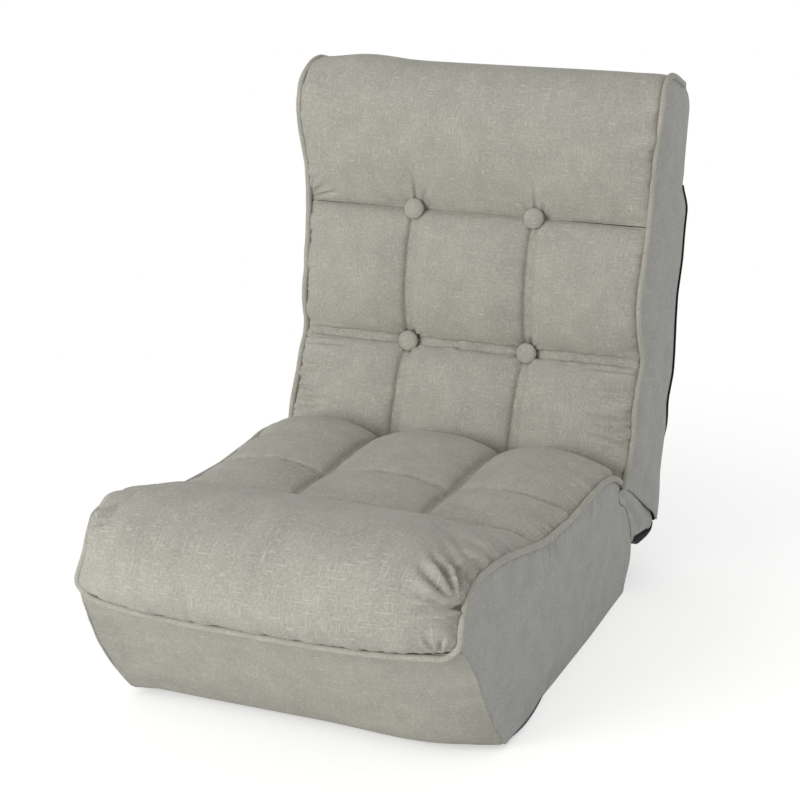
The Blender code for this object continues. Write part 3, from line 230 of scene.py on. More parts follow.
def smooth_run(points, step):
    """Points at an even step on a smooth curve through the given ones."""
    p = np.array(points, float)
    d = np.linalg.norm(np.diff(p, axis=0), axis=1)
    slope = np.diff(p, axis=0) / d[:, None]
    m = np.vstack([slope[:1], (slope[:-1] * d[1:, None] + slope[1:] * d[:-1, None])
                   / (d[1:] + d[:-1])[:, None], slope[-1:]])
    t = np.linspace(0.0, 1.0, 20, endpoint=False)[:, None]
    fine = []
    for a, b, ma, mb, length in zip(p, p[1:], m, m[1:], d):
        fine.append((2 * t**3 - 3 * t**2 + 1) * a + (t**3 - 2 * t**2 + t) * length * ma
                    + (3 * t**2 - 2 * t**3) * b + (t**3 - t**2) * length * mb)
    fine = np.vstack(fine + [p[-1:]])
    gone = run_length(fine)
    want = np.linspace(0.0, gone[-1], max(int(round(gone[-1] / step)), 2) + 1)
    return np.stack([np.interp(want, gone, fine[:, k]) for k in range(p.shape[1])], axis=1), want


def run_length(line):
    """How far along a line each of its points lies."""
    return np.concatenate([[0.0], np.cumsum(np.linalg.norm(np.diff(line, axis=0), axis=1))])


def facing(run, direction):
    """Unit normals of a run in its plane, on the side where its middle meets direction."""
    along = np.gradient(run, axis=0)
    along /= np.linalg.norm(along, axis=1)[:, None]
    normal = np.stack([-along[:, 1], along[:, 0]], axis=1)
    return normal if normal[len(normal) // 2] @ direction > 0 else -normal


def spread(across, half):
    """x of rows of points that reach half[0] to the left and half[1] to the right."""
    return np.where(across < 0, half[0][:, None] * across, half[1][:, None] * across)


def on_cloth(x, gone):
    """Where each point of a grid lies on the flat cloth, across it and along it."""
    return np.stack([x, np.repeat(gone[:, None], x.shape[1], axis=1)], axis=2)


def rim(grid):
    """1 on the border of a grid, 0 inside it."""
    edge = np.zeros(grid.shape[:2])
    edge[0] = edge[-1] = edge[:, 0] = edge[:, -1] = 1
    return edge


def hump(value, middle, width):
    """1 at the middle, fading smoothly to both sides."""
    return np.exp(-((value - middle) / width) ** 2)


def smoothstep(value, low, high):
    t = np.clip((np.asarray(value, float) - low) / (high - low), 0.0, 1.0)
    return t * t * (3 - 2 * t)


def valley(distance, width):
    """1 on a seam, falling away to both sides with steep walls."""
    return np.exp(-np.abs(distance / width) ** 1.5)


def rounded(share):
    share = np.clip(share, 0.0, 1.0)
    return np.sqrt(1.0 - (1.0 - share) ** 2)


def places(low, high, step, seams, closer=None):
    """Places from low to high, one on each seam and two close beside it on either side.

    closer gives, from 0 to 1, where the step shrinks to 0.6 of itself.
    """
    stops = sorted({low, high, *seams})
    made = []
    for a, b in zip(stops, stops[1:]):
        first = [a, *(a + d for d in CLOSE_ROWS)] if a in seams else [a]
        last = [b - d for d in CLOSE_ROWS[::-1]] if b in seams else []
        end = last[0] if last else b
        fine = np.linspace(first[-1], end, 400)
        steps = np.full(len(fine), step) if closer is None else step * (1 - 0.4 * closer(fine))
        told = np.concatenate([[0.0], np.cumsum(np.diff(fine) / steps[1:])])
        count = max(int(round(told[-1])), 1)
        between = np.interp(np.linspace(0, told[-1], count + 1)[1:-1], told, fine)
        made += first + list(between) + last
    return np.array(made + [high])


def near_sides(x):
    """Where a cushion's grid is closer, for the gathers along its sides."""
    return smoothstep(np.abs(x), 0.16, 0.21)


def plump(away, width):
    """How full a puff is at some way from its seam: steep at the seam, level at its middle."""
    t = np.clip(away / width, 0.0, 1.0)
    return np.sqrt(1.0 - (1.0 - t) ** 2) * 0.8 + 0.2 * t


def random_line(along, scale, seed):
    """Smooth unruly heights from -1 to 1 along a line, the same on every run."""
    place = np.asarray(along) / scale + seed * 7.31
    cell = np.floor(place)
    share = place - cell
    share = share * share * (3 - 2 * share)
    ends = []
    for n in (cell, cell + 1):
        mixed = np.sin(n * 12.9898 + seed * 78.233) * 43758.5453
        ends.append(2 * (mixed - np.floor(mixed)) - 1)
    return ends[0] * (1 - share) + ends[1] * share


def gathers(along, away, reach, deep, seed):
    """Folds out of a gathered seam: fine and short ones beside it, wider ones further out."""
    made = np.zeros(np.shape(away))
    drift = along + 0.004 * random_line(away, 0.03, seed + 5)
    for width, share, far in GATHERS:
        wave = random_line(drift, width, seed + far)
        long = reach * far * (0.65 + 0.35 * random_line(along, width * 1.7, seed + 2 * far))
        fade = smoothstep(away, 0.0, 0.005)
        fade = fade * (1 - smoothstep(away / np.maximum(long, 1e-4), 0.25, 1.0))
        made = made + share * fade * (0.5 * wave - np.exp(-(wave / 0.33) ** 2) + 0.4)
    return deep * made


def fan(dx, dy, folds, deep, start=0.008):
    """Deep folds that spread from one point, each with its own direction and length."""
    made = np.zeros(np.shape(dx))
    for angle, long, share in folds:
        a = math.radians(angle)
        run = dx * math.cos(a) + dy * math.sin(a)
        off = -dx * math.sin(a) + dy * math.cos(a)
        off = off - 0.05 * run * run / max(long, 1e-4) * math.sin(3 * a)
        wide = FAN_NARROW + FAN_SPREAD * np.clip(run, 0, None)
        body = smoothstep(run, 0.0, start) * (1 - smoothstep(run, 0.35 * long, long))
        made += share * body * (0.55 * np.exp(-((np.abs(off) - 2.1 * wide) / (1.3 * wide)) ** 2)
                                - np.exp(-(off / wide) ** 2))
    return deep * made


def sewn(away):
    """A seam seen close: a narrow pinched ridge between two sharp hollows."""
    return (RIDGE * np.exp(-(away / RIDGE_WIDE) ** 2)
            - HOLLOW * np.exp(-(away / HOLLOW_WIDE) ** 2))


def closed_piece(name, work):
    """A smooth-shaded object from a closed bmesh, its faces turned outwards."""
    bmesh.ops.recalc_face_normals(work, faces=work.faces)
    mesh = bpy.data.meshes.new(name)
    work.to_mesh(mesh)
    work.free()
    mesh.shade_smooth()
    return placed(name, mesh)


def cushion(name, top, sink, metres):
    """A closed cushion: a grid of points for its top, and a flat sunk underside.

    metres holds the place of each top point on the flat cloth, for the weave.
    """
    rows, across = top.shape[:2]
    under = top[:, (0, -1)] + sink[:, None]
    work = bmesh.new()
    flat = work.verts.layers.float_vector.new("flat")
    creased = work.edges.layers.float.new("crease_edge")
    cloth = work.loops.layers.uv.new("cloth")
    grid = [[work.verts.new(p) for p in row] for row in top]
    low = [[work.verts.new(p) for p in row] for row in under]
    for row, spots in zip(grid, metres):
        for vert, spot in zip(row, spots):
            vert[flat] = (spot[0], spot[1], 1.0)
    for i in range(rows - 1):
        for j in range(across - 1):
            face = work.faces.new((grid[i][j], grid[i + 1][j], grid[i + 1][j + 1], grid[i][j + 1]))
            for loop, (a, b) in zip(face.loops, ((i, j), (i + 1, j), (i + 1, j + 1), (i, j + 1))):
                loop[cloth].uv = metres[a, b]
        work.faces.new((low[i][0], low[i + 1][0], grid[i + 1][0], grid[i][0]))
        work.faces.new((low[i][1], grid[i][-1], grid[i + 1][-1], low[i + 1][1]))
        work.faces.new((low[i][0], low[i][1], low[i + 1][1], low[i + 1][0]))
    work.faces.new((low[0][0], *grid[0], low[0][1]))
    work.faces.new((low[-1][1], *reversed(grid[-1]), low[-1][0]))
    border = {v for row in low for v in row} | set(grid[0]) | set(grid[-1])
    border |= {row[0] for row in grid} | {row[-1] for row in grid}
    for edge in work.edges:
        if edge.verts[0] in border and edge.verts[1] in border:
            edge[creased] = 1.0
    return closed_piece(name, work)


def points_of(piece):
    co = np.empty(len(piece.data.vertices) * 3)
    piece.data.vertices.foreach_get("co", co)
    return co.reshape(-1, 3)


def put_points(piece, co):
    piece.data.vertices.foreach_set("co", np.ascontiguousarray(co, float).ravel())
    piece.data.update()


def swell(piece, held, fullness, pressure, cap, ease, bending=0.6, steps=20):
    """Blow the cloth up between its seams and keep the result, moved by no more than cap.

    held is 1 on a seam and 0 on free cloth, fullness how much the cloth is eased in.
    """
    before = points_of(piece)
    for name, weights in (("held", held), ("fullness", fullness)):
        group = piece.vertex_groups.new(name=name)
        levels = np.round(np.clip(weights, 0.0, 1.0) * 40) / 40
        for level in np.unique(levels):
            if level > 0:
                group.add(np.nonzero(levels == level)[0].tolist(), float(level), "REPLACE")
    cloth = piece.modifiers.new("swelling", "CLOTH")
    cloth.point_cache.frame_start, cloth.point_cache.frame_end = 1, steps
    rules = cloth.settings
    rules.quality = 5
    rules.mass = 0.25
    rules.tension_stiffness = rules.compression_stiffness = 25.0
    rules.shear_stiffness = 12.0
    rules.bending_stiffness = bending
    rules.air_damping = 1.5
    rules.vertex_group_mass = "held"
    rules.pin_stiffness = 1.0
    rules.vertex_group_shrink = "fullness"
    rules.shrink_min, rules.shrink_max = 0.0, -ease
    rules.use_pressure = True
    rules.uniform_pressure_force = pressure
    rules.effector_weights.gravity = 0.0
    cloth.collision_settings.use_collision = False
    for frame_number in range(1, steps + 1):
        scene.frame_set(frame_number)
    graph = bpy.context.evaluated_depsgraph_get()
    seen = piece.evaluated_get(graph)
    after = np.empty(len(seen.data.vertices) * 3)
    seen.data.vertices.foreach_get("co", after)
    moved = after.reshape(-1, 3) - before
    far = np.maximum(np.linalg.norm(moved, axis=1), 1e-9)
    piece.modifiers.remove(cloth)
    scene.frame_set(1)
    # the cap bends the movement over instead of cutting it off
    put_points(piece, before + moved * (cap * np.tanh(far / cap) / far)[:, None])
    piece.vertex_groups.clear()


def finer(piece):
    """One round of subdivision, kept."""
    mod = piece.modifiers.new("finer", "SUBSURF")
    mod.levels = mod.render_levels = 1
    mod.use_limit_surface = False
    keep_shape(piece)


def keep_shape(piece):
    """Apply a piece's modifiers."""
    graph = bpy.context.evaluated_depsgraph_get()
    mesh = bpy.data.meshes.new_from_object(piece.evaluated_get(graph), depsgraph=graph)
    piece.modifiers.clear()
    old = piece.data
    piece.data = mesh
    bpy.data.meshes.remove(old)
    mesh.name = piece.name


def worked(piece, offset):
    """Move a finished cushion's cloth outwards by offset(x, y), x and y on the flat cloth."""
    count = len(piece.data.vertices)
    flat, normal = np.empty(count * 3), np.empty(count * 3)
    piece.data.attributes["flat"].data.foreach_get("vector", flat)
    piece.data.vertex_normals.foreach_get("vector", normal)
    flat, normal = flat.reshape(-1, 3), normal.reshape(-1, 3)
    on_top = smoothstep(flat[:, 2], 0.75, 1.0)
    move = offset(flat[:, 0] / np.maximum(flat[:, 2], 0.5), flat[:, 1]) * on_top
    put_points(piece, points_of(piece) + normal * move[:, None])
    piece.data.attributes.remove(piece.data.attributes["flat"])


def socket(tree, name, kind, way, value=None):
    made = tree.interface.new_socket(name=name, in_out=way, socket_type=kind)
    if value is not None:
        made.default_value = value
    return made


def weave_group():
    """Plain weave with thicker slubs, from a place on the flat cloth in metres."""
    tree = bpy.data.node_groups.new("Slub weave", "ShaderNodeTree")
    socket(tree, "Place", "NodeSocketVector", "INPUT")
    socket(tree, "Threads per metre", "NodeSocketFloat", "INPUT", 1300.0)
    socket(tree, "Shade", "NodeSocketFloat", "OUTPUT")
    socket(tree, "Height", "NodeSocketFloat", "OUTPUT")
    given = wired(tree, "NodeGroupInput").outputs

    def maths(how, *terms):
        return wired(tree, "ShaderNodeMath", dict(enumerate(terms)), operation=how).outputs[0]

    def streaks(u, v, stretch, detail):
        place = wired(tree, "ShaderNodeCombineXYZ",
                      {0: maths("MULTIPLY", u, stretch[0]), 1: maths("MULTIPLY", v, stretch[1])})
        noise = wired(tree, "ShaderNodeTexNoise",
                      {"Vector": place.outputs[0], "Scale": 1.0, "Detail": detail},
                      noise_dimensions="2D")
        return noise.outputs[0]

    split = wired(tree, "ShaderNodeSeparateXYZ", {0: given["Place"]}).outputs
    across = maths("MULTIPLY", split[0], given["Threads per metre"])
    along = maths("MULTIPLY", split[1], given["Threads per metre"])
    warp = streaks(across, along, (0.62, 0.170), 2.0)
    weft = streaks(across, along, (0.160, 0.60), 2.0)
    patch = streaks(across, along, (0.02, 0.02), 2.0)
    slub = maths("MAXIMUM", streaks(across, along, (0.62, 0.040), 0.0),
                 streaks(along, across, (0.60, 0.038), 0.0))
    thick = maths("MULTIPLY", maths("MAXIMUM", maths("SUBTRACT", slub, SLUB_FROM), 0.0), SLUB_GAIN)
    threads = maths("MULTIPLY", maths("SINE", maths("MULTIPLY", across, math.pi)),
                    maths("SINE", maths("MULTIPLY", along, math.pi)))
    both = maths("ADD", maths("MULTIPLY", warp, 0.5), maths("MULTIPLY", weft, 0.5))
    shade = maths("MULTIPLY_ADD", both, 0.8, maths("MULTIPLY", patch, 0.2))
    shade = maths("ADD", shade, thick)
    wired(tree, "NodeGroupOutput",
          {"Shade": maths("MULTIPLY_ADD", threads, 0.08, shade),
           "Height": maths("MULTIPLY_ADD", threads, 0.25, maths("ADD", both, thick))})


def bare_finish(name, levels):
    """A new material with plain levels on its shader's own sockets."""
    made = bpy.data.materials.new(name)
    made.use_nodes = True
    shader = made.node_tree.nodes["Principled BSDF"]
    for slot, level in levels.items():
        shader.inputs[slot].default_value = level
    return made, made.node_tree, shader.inputs


def vary_colour(tree, shader, share, dark, light):
    shades = wired(tree, "ShaderNodeMix", {0: share, 6: (*dark, 1.0), 7: (*light, 1.0)},
                   data_type="RGBA")
    tree.links.new(shades.outputs[2], shader["Base Color"])


def vary_roughness(tree, shader, share, low, high):
    span = wired(tree, "ShaderNodeMapRange", {"Value": share, "To Min": low, "To Max": high})
    tree.links.new(span.outputs["Result"], shader["Roughness"])


def add_relief(tree, shader, height, strength, deep):
    bump = wired(tree, "ShaderNodeBump",
                 {"Strength": strength, "Distance": deep, "Height": height})
    tree.links.new(bump.outputs[0], shader["Normal"])


def weave_on(tree):
    """The weave, laid on the piece's own flat pattern."""
    place = wired(tree, "ShaderNodeUVMap", uv_map="cloth")
    return wired(tree, "ShaderNodeGroup", {"Place": place.outputs[0]},
                 node_tree=bpy.data.node_groups["Slub weave"])


def linen_cloth(name, colour):
    """Linen-look cloth with its slubs, from the colour less its depth to the colour and more."""
    made, tree, shader = bare_finish(name, {"Specular IOR Level": 0.18, "Sheen Weight": 0.12,
                                            "Sheen Roughness": 0.55})
    weave = weave_on(tree).outputs
    tone = wired(tree, "ShaderNodeMapRange",
                 {"Value": weave["Shade"], "From Min": 0.25, "From Max": 0.75,
                  "To Min": 0.0, "To Max": 1.0})
    vary_colour(tree, shader, tone.outputs["Result"], [c * (1 - LINEN_DEPTH) for c in colour],
                [min(c * (1 + LINEN_DEPTH), PALEST) for c in colour])
    vary_roughness(tree, shader, weave["Shade"], low=0.95, high=0.82)
    add_relief(tree, shader, weave["Height"], strength=0.40, deep=0.0006)
    return made


weave_group()
linen = linen_cloth("linen", LINEN)


def seat_narrower(y, z, side):
    """How much nearer the middle the seat's side stands, close to its front edge."""
    edge = np.array(FRONT_EDGE)
    y, z = np.asarray(y, float), np.asarray(z, float)
    near = np.full(y.shape, 9.0)
    for a, b in zip(edge, edge[1:]):
        run = b - a
        t = np.clip(((y - a[0]) * run[0] + (z - a[1]) * run[1]) / (run @ run), 0, 1)
        near = np.minimum(near, np.hypot(y - a[0] - t * run[0], z - a[1] - t * run[1]))
    drawn = SEAT_DRAWN[side] + DRAWN_LOW * np.clip(1 - z / 0.2, 0, 1)
    corner = hump(y, -0.660, 0.055) * smoothstep(z, 0.205, 0.262) * LEFT_CORNER[side]
    return drawn * (1 - smoothstep(near, 0.0, SEAT_DRAWN_OVER)) + corner


def rear_lift(y):
    """How much higher the seat's left edge runs close to the fold."""
    return LEFT_LIFT * hump(np.asarray(y), LEFT_LIFT_AT, LEFT_LIFT_OVER)


line, gone = smooth_run(SEAT_LINE, 0.001)
seat_seams = [float(np.interp(at, line[:, 0], gone)) for at in SEAT_SEAMS]
want = places(0.0, float(gone[-1]), ROW_STEP, seat_seams)
line = np.stack([np.interp(want, gone, line[:, k]) for k in (0, 1)], axis=1)
gone = want
out = facing(line, (0.0, 1.0))
across = places(-SEAT_HALF, SEAT_HALF, COLUMN_STEP, (-COLUMN, COLUMN), near_sides) / SEAT_HALF
half = [SEAT_HALF - seat_narrower(line[:, 0], line[:, 1], side) for side in (-1, 1)]
x = spread(across, half)
y_line, z_line = line[:, :1], line[:, 1:]
left_over = gone[-1] - gone
# front is 1 on the bolster and 0 behind its rear seam
front = (1 - smoothstep(gone, seat_seams[1] - 0.035, seat_seams[1] + 0.004))[:, None]
rear_away, front_away = (np.abs(gone - at)[:, None] for at in seat_seams)
row_away = np.minimum(rear_away, front_away)
column_away = np.abs(np.abs(across) * SEAT_HALF - COLUMN)[None, :]
crown = SEAT_CROWN + (BOLSTER_CROWN - SEAT_CROWN) * front
ends = (rounded(gone / BOLSTER_ROUND) * rounded(left_over / REAR_ROUND))[:, None]
sides = (1 - np.abs(across) ** 6)[None, :] ** 0.6
rise = np.sin(np.clip(row_away / BOLSTER_RISE, 0, 1) * math.pi / 2) ** 1.6
rows = plump(front_away, PUFF) * (1 - CROSS_SEAM_DROP * (1 - plump(rear_away, 0.6 * PUFF)))
puff = front * rise + (1 - front) * rows * plump(column_away, PUFF)
high = crown * ends * sides * (SEAM_LEVEL + (1 - SEAM_LEVEL) * puff)
high -= TUFT_PIT * np.exp(-(front_away / TUFT_OVER) ** 2 - (column_away / TUFT_OVER) ** 2)
bow = (1 - np.abs(across) ** 3.5)[None, :] * (1 - smoothstep(gone, 0.0, SEAT_BOW_OVER))[:, None]
bulge = hump(np.abs(across), 0.94, 0.05)[None, :] * front * rounded(gone / 0.03)[:, None]
bulge *= np.where(across < 0, OVERHANG[-1], OVERHANG[1])
bulge[:, (0, -1)] = 0.0
x = x + np.sign(across) * bulge
y = y_line + out[:, :1] * high + SEAT_BOW[0] * bow + FOLD_Y
z = z_line + out[:, 1:] * high + SEAT_BOW[1] * bow
z = z + rear_lift(y_line) * smoothstep(-across, 0.35, 0.95)
sink = np.stack([np.zeros(len(out)), -SEAT_SINK * out[:, 0], -SEAT_SINK * out[:, 1]], axis=1)
seat_cushion = cushion("seat_cushion", np.stack([x, y, z], axis=2), sink,
                       on_cloth(across * SEAT_HALF + np.zeros(x.shape), gone))

seam_row = (row_away < 1e-5) * np.ones(x.shape)
seam_column = (column_away < 1e-5) * (gone > seat_seams[1])[:, None]
held = np.maximum(np.maximum(seam_row, seam_column), rim(x))
held = np.concatenate([held.ravel(), np.ones(2 * len(line))])
side_ease = smoothstep(np.abs(across), 0.72, 0.97)[None, :] * np.ones(x.shape)
seam_ease = 0.5 * np.maximum(valley(row_away, SEAM_WIDTH),
                             valley(column_away, SEAM_WIDTH) * (1 - front))
fullness = np.clip(0.25 + 0.5 * side_ease + seam_ease, 0, 1)
fullness = np.concatenate([fullness.ravel(), np.zeros(2 * len(line))])
swell(seat_cushion, held, fullness, pressure=4.0, cap=0.026, ease=0.14)
# the bolster has no seams along it, so the close columns there are evened out
co = points_of(seat_cushion)
grid = co[:x.size].reshape(*x.shape, 3).copy()
close = column_away[0] < CLOSE_COLUMNS
for k in range(3):
    even = np.stack([np.interp(across, across[~close], row) for row in grid[:, ~close, k]])
    grid[:, :, k] += (even - grid[:, :, k]) * front
co[:x.size] = grid.reshape(-1, 3)
put_points(seat_cushion, co)
finer(seat_cushion)


def seat_work(x, y):
    """Its seams, the gathers along them, and the folds out of the front corners."""
    rear = smoothstep(y, seat_seams[1] - 0.004, seat_seams[1] + 0.004)
    made = np.zeros(x.shape)
    for at, seed in zip(seat_seams, (3, 4)):
        away = np.abs(y - at)
        made += sewn(away) * (1 if at == seat_seams[0] else 0.6)
        made += gathers(x, away, reach=0.030, deep=0.0014, seed=seed)
    away = np.abs(np.abs(x) - COLUMN)
    made += rear * (sewn(away) + gathers(y, away, reach=0.026, deep=0.0012, seed=6 + np.sign(x)))
    for side, seed, deep in ((1, 11, 0.0036), (-1, 12, 0.0026)):
        away = SEAT_HALF - side * x
        made += gathers(y, away, reach=0.060, deep=deep, seed=seed) * (1 + 0.4 * hump(y, 0.20, 0.12))
    made += gathers(x, y, reach=0.034, deep=0.0016, seed=15)
    made += fan(x - SEAT_HALF, y - STAR, SEAT_FOLDS, deep=0.0092)
    made += fan(x - SEAT_HALF + FOOT_FOLDS_AT[0], y - FOOT_FOLDS_AT[1], FOOT_FOLDS, deep=0.0055)
    made += fan(-x - SEAT_HALF, y - LEFT_STAR, LEFT_FOLDS, deep=0.0070)
    return made


worked(seat_cushion, seat_work)
seat_cushion.data.materials.append(linen)
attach(seat_cushion, "seat")
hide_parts("seat_quilt")


# Seat border
# The upright cloth round the seat, laid over foam: two side panels and one front panel,
# joined by plain seams at the front corners, and a short panel down the rear. The seat
# stands on black lining that shows as a dark edge below the front of each side.
SEAT_UNDER = ((0.046, 0.000), (-0.200, 0.000), (-0.360, 0.001), (-0.440, 0.005), (-0.512, 0.010))
SEAT_FRONT = ((-0.512, 0.010), (-0.537, 0.034), (-0.568, 0.067), (-0.603, 0.114),
              (-0.628, 0.150), (-0.655, 0.180), (-0.679, 0.202))
FRONT_MIDDLE = ((-0.538, 0.0085), (-0.562, 0.015), (-0.588, 0.045), (-0.615, 0.093),
                (-0.640, 0.140), (-0.664, 0.176), (-0.692, 0.1905))
SEAT_REAR = ((-0.026, 0.200), (-0.023, 0.172), (0.013, 0.152), (0.042, 0.115), (0.055, 0.078),
             (0.052, 0.038), (0.046, 0.000))
LINING_LINE = ((0.046, 0.002), (-0.15, 0.001), (-0.38, 0.001), (-0.46, 0.002),
               (-0.506, 0.0075))
LINING_IN = 0.0115            # how far the lining's edges stand in from the side panels
LINING_SWUNG = 0.0135         # and how far they swing out again behind the front corners
LINING_FLOOR = 0.0020         # lowest height of the lining's inner face
CORNER_FOOT = (0.008, 0.0025)   # how far the right front corner's foot reaches out and down
# Height, and how far the cloth bulges forward there at the left front corner; and the
# height and place of the front edge that it bulges from.
CORNER_AHEAD = ((0.0, 0.052), (0.036, 0.051), (0.067, 0.049), (0.114, 0.046), (0.150, 0.037),
                (0.180, 0.020), (0.202, 0.0))
CORNER_FROM = ((0.013, -0.505), (0.036, -0.537), (0.067, -0.568), (0.114, -0.603),
               (0.150, -0.628), (0.180, -0.655), (0.202, -0.679))
CORNER_SHARE = {-1: 0.9, 1: 0.0}     # how much of it the left and right corner show
PANEL_X = 0.2762              # half the chair's width at its side panels
FRONT_X = 0.0003              # the front panel just covers their edges
REAR_HALF, REAR_FOOT = 0.2710, 0.007   # half the rear panel, and how much narrower its foot is
PANEL_SWELL = 0.0045          # how far a side panel stands out in its middle
FOOT_OUT, FOOT_IN = 0.004, 0.007   # its foot: out at the front, and in further back
FOLD_IN = 0.003               # how far in it stands beside the fold
PANEL_CLOTH, REAR_CLOTH, LINING_CLOTH = 0.0024, 0.0020, 0.0012   # thicknesses
PANEL_STEP = 0.0085
LINEN_SIDE = (0.436, 0.434, 0.410)
BLACK = (0.012, 0.012, 0.014)


def inside(points, ring):
    """Which points lie inside a closed ring."""
    hit = np.zeros(len(points), bool)
    for (ax, ay), (bx, by) in zip(ring, np.roll(ring, -1, axis=0)):
        if ay != by:
            cut = (points[:, 1] < ay) != (points[:, 1] < by)
            hit ^= cut & (points[:, 0] < ax + (bx - ax) * (points[:, 1] - ay) / (by - ay))
    return hit


def from_edge(points, run):
    """Distance of each point from a run of points."""
    near = np.full(len(points), 9.0)
    for a, b in zip(run, run[1:]):
        along = b - a
        t = np.clip((points - a) @ along / max(along @ along, 1e-12), 0, 1)
        near = np.minimum(near, np.linalg.norm(points - a - t[:, None] * along, axis=1))
    return near


def flat_pattern(mesh, flat):
    """The place of each point on the flat cloth, in metres, as a UV map for the weave."""
    cloth = mesh.uv_layers.new(name="cloth")
    for loop in mesh.loops:
        cloth.data[loop.index].uv = flat[loop.vertex_index]


def panel(name, ring, step):
    """A flat panel cut to a closed ring, with even threads of points inside it."""
    ring = np.array(ring)
    low, high = ring.min(axis=0), ring.max(axis=0)
    grid = []
    row, z = 0, low[1]
    while z < high[1]:
        y = np.arange(low[0] + (row % 2) * step / 2, high[0], step)
        grid.append(np.stack([y, np.full(len(y), z)], axis=1))
        z += step * math.sqrt(0.75)
        row += 1
    grid = np.vstack(grid)
    closed = np.vstack([ring, ring[:1]])
    grid = grid[inside(grid, ring)]
    grid = grid[from_edge(grid, closed) > step * 0.55]
    flat = np.vstack([ring, grid])
    found = delaunay_2d_cdt([Vector(q) for q in flat], [], [list(range(len(ring)))], 1, 1e-6)
    points = np.array([tuple(v) for v in found[0]])
    mesh = bpy.data.meshes.new(name)
    mesh.from_pydata([(0.0, y, z) for y, z in points], [], [list(f) for f in found[2]])
    flat_pattern(mesh, points)
    return placed(name, mesh), points, from_edge(points, closed)


def lined(piece, thickness):
    """Give an open panel its thickness on the inner side, and smooth it once."""
    fine = piece.modifiers.new("finer", "SUBSURF")
    fine.levels = fine.render_levels = 1
    wall = piece.modifiers.new("lining", "SOLIDIFY")
    wall.thickness = thickness
    wall.offset = -1.0
    keep_shape(piece)
    piece.data.shade_smooth()


def grid_panel(name, rows, gone):
    """An open panel from rows of points, each row at its own place along the flat cloth."""
    count, across = rows.shape[:2]
    ids = np.arange(count * across).reshape(count, across)
    mesh = bpy.data.meshes.new(name)
    faces = [(int(ids[i, j]), int(ids[i, j + 1]), int(ids[i + 1, j + 1]), int(ids[i + 1, j]))
             for i in range(count - 1) for j in range(across - 1)]
    mesh.from_pydata([tuple(p) for p in rows.reshape(-1, 3)], [], faces)
    flat_pattern(mesh, on_cloth(rows[:, :, 0], gone).reshape(-1, 2))
    return placed(name, mesh)


def face_towards(piece, direction):
    mesh = piece.data
    normal = sum((p.normal * p.area for p in mesh.polygons), Vector())
    if normal.dot(Vector(direction)) < 0:
        mesh.flip_normals()


def corner_ahead(y, z, side):
    """How much further forward the cloth bulges at the left front corner."""
    reach = np.interp(z, *zip(*CORNER_AHEAD))
    front_y = np.interp(z, *zip(*CORNER_FROM))
    return reach * (1 - smoothstep(y - front_y, 0.0, 0.10)) * CORNER_SHARE[side]


def corner_low(y, z):
    """How far the right front corner's foot reaches forward and down, from 0 to 1."""
    return (1 - smoothstep(z, 0.010, 0.075)) * smoothstep(-np.asarray(y), 0.42, 0.51)


def crosswise(x, line):
    """Rows of points across the chair, one at each point of a line along its middle."""
    return np.stack([x, np.repeat(line[:, :1], x.shape[1], axis=1),
                     np.repeat(line[:, 1:], x.shape[1], axis=1)], axis=2)


def black_lining(name, colour):
    """Thin black lining: close threads with a dull sheen."""
    made, tree, shader = bare_finish(name, {"Sheen Weight": 0.25, "Specular IOR Level": 0.25})
    weave = weave_on(tree)
    weave.inputs["Threads per metre"].default_value = 2200.0
    vary_colour(tree, shader, weave.outputs["Shade"], [c * 0.6 for c in colour],
                [c * 2.0 for c in colour])
    vary_roughness(tree, shader, weave.outputs["Shade"], low=0.9, high=0.7)
    add_relief(tree, shader, weave.outputs["Height"], strength=0.25, deep=0.0004)
    return made


linen_side = linen_cloth("linen_side", LINEN_SIDE)
black = black_lining("black_lining", BLACK)

front_run, top_run, rear_run, under_run = (
    smooth_run(line, PANEL_STEP)[0] for line in (SEAT_FRONT, SEAT_LINE, SEAT_REAR, SEAT_UNDER))
seat_ring = np.vstack([front_run[:-1], top_run[:-1], rear_run[:-1], under_run[:-1]])
for side, word in ((-1, "left"), (1, "right")):
    piece, points, deep = panel(f"seat_side_{word}", seat_ring, PANEL_STEP)
    y, z = points[:, 0], points[:, 1]
    swollen = PANEL_SWELL * smoothstep(deep, 0.0, 0.06)
    x = PANEL_X - seat_narrower(y, z, side) + swollen
    low = 1 - smoothstep(z, 0.0, 0.06)
    x += low * (FOOT_OUT * smoothstep(-y, 0.40, 0.48)
                - FOOT_IN * (1 - smoothstep(-y, 0.34, 0.44)))
    x -= FOLD_IN * smoothstep(y, -0.15, 0.03)
    y_out = y - corner_ahead(y, z, side)
    z_out = z + rear_lift(y) * smoothstep(z, 0.12, 0.20) * (side < 0)
    foot = corner_low(y, z) * (side > 0)
    y_out, z_out = y_out - CORNER_FOOT[0] * foot, z_out - CORNER_FOOT[1] * foot
    put_points(piece, np.stack([side * x, y_out + FOLD_Y, z_out], axis=1))
    face_towards(piece, (side, 0, 0))
    near_top = hump(from_edge(points, top_run), 0.0, 0.035) * smoothstep(-y, 0.66, 0.50)
    swell(piece, (deep < 0.001).astype(float), 0.15 + 0.85 * near_top,
          pressure=0.5, cap=0.005, ease=0.06, bending=1.5)
    lined(piece, PANEL_CLOTH)
    co = points_of(piece)
    away = from_edge(co[:, 1:] - (FOLD_Y, 0.0), top_run)
    co[:, 0] += side * (gathers(co[:, 1], away, reach=0.050, deep=0.0024, seed=20 + side)
                        * (1 - smoothstep(-co[:, 1], 0.24, 0.44)))
    put_points(piece, co)
    piece.data.materials.append(linen_side)
    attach(piece, "seat")
    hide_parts(f"seat_side_panel_{word}")

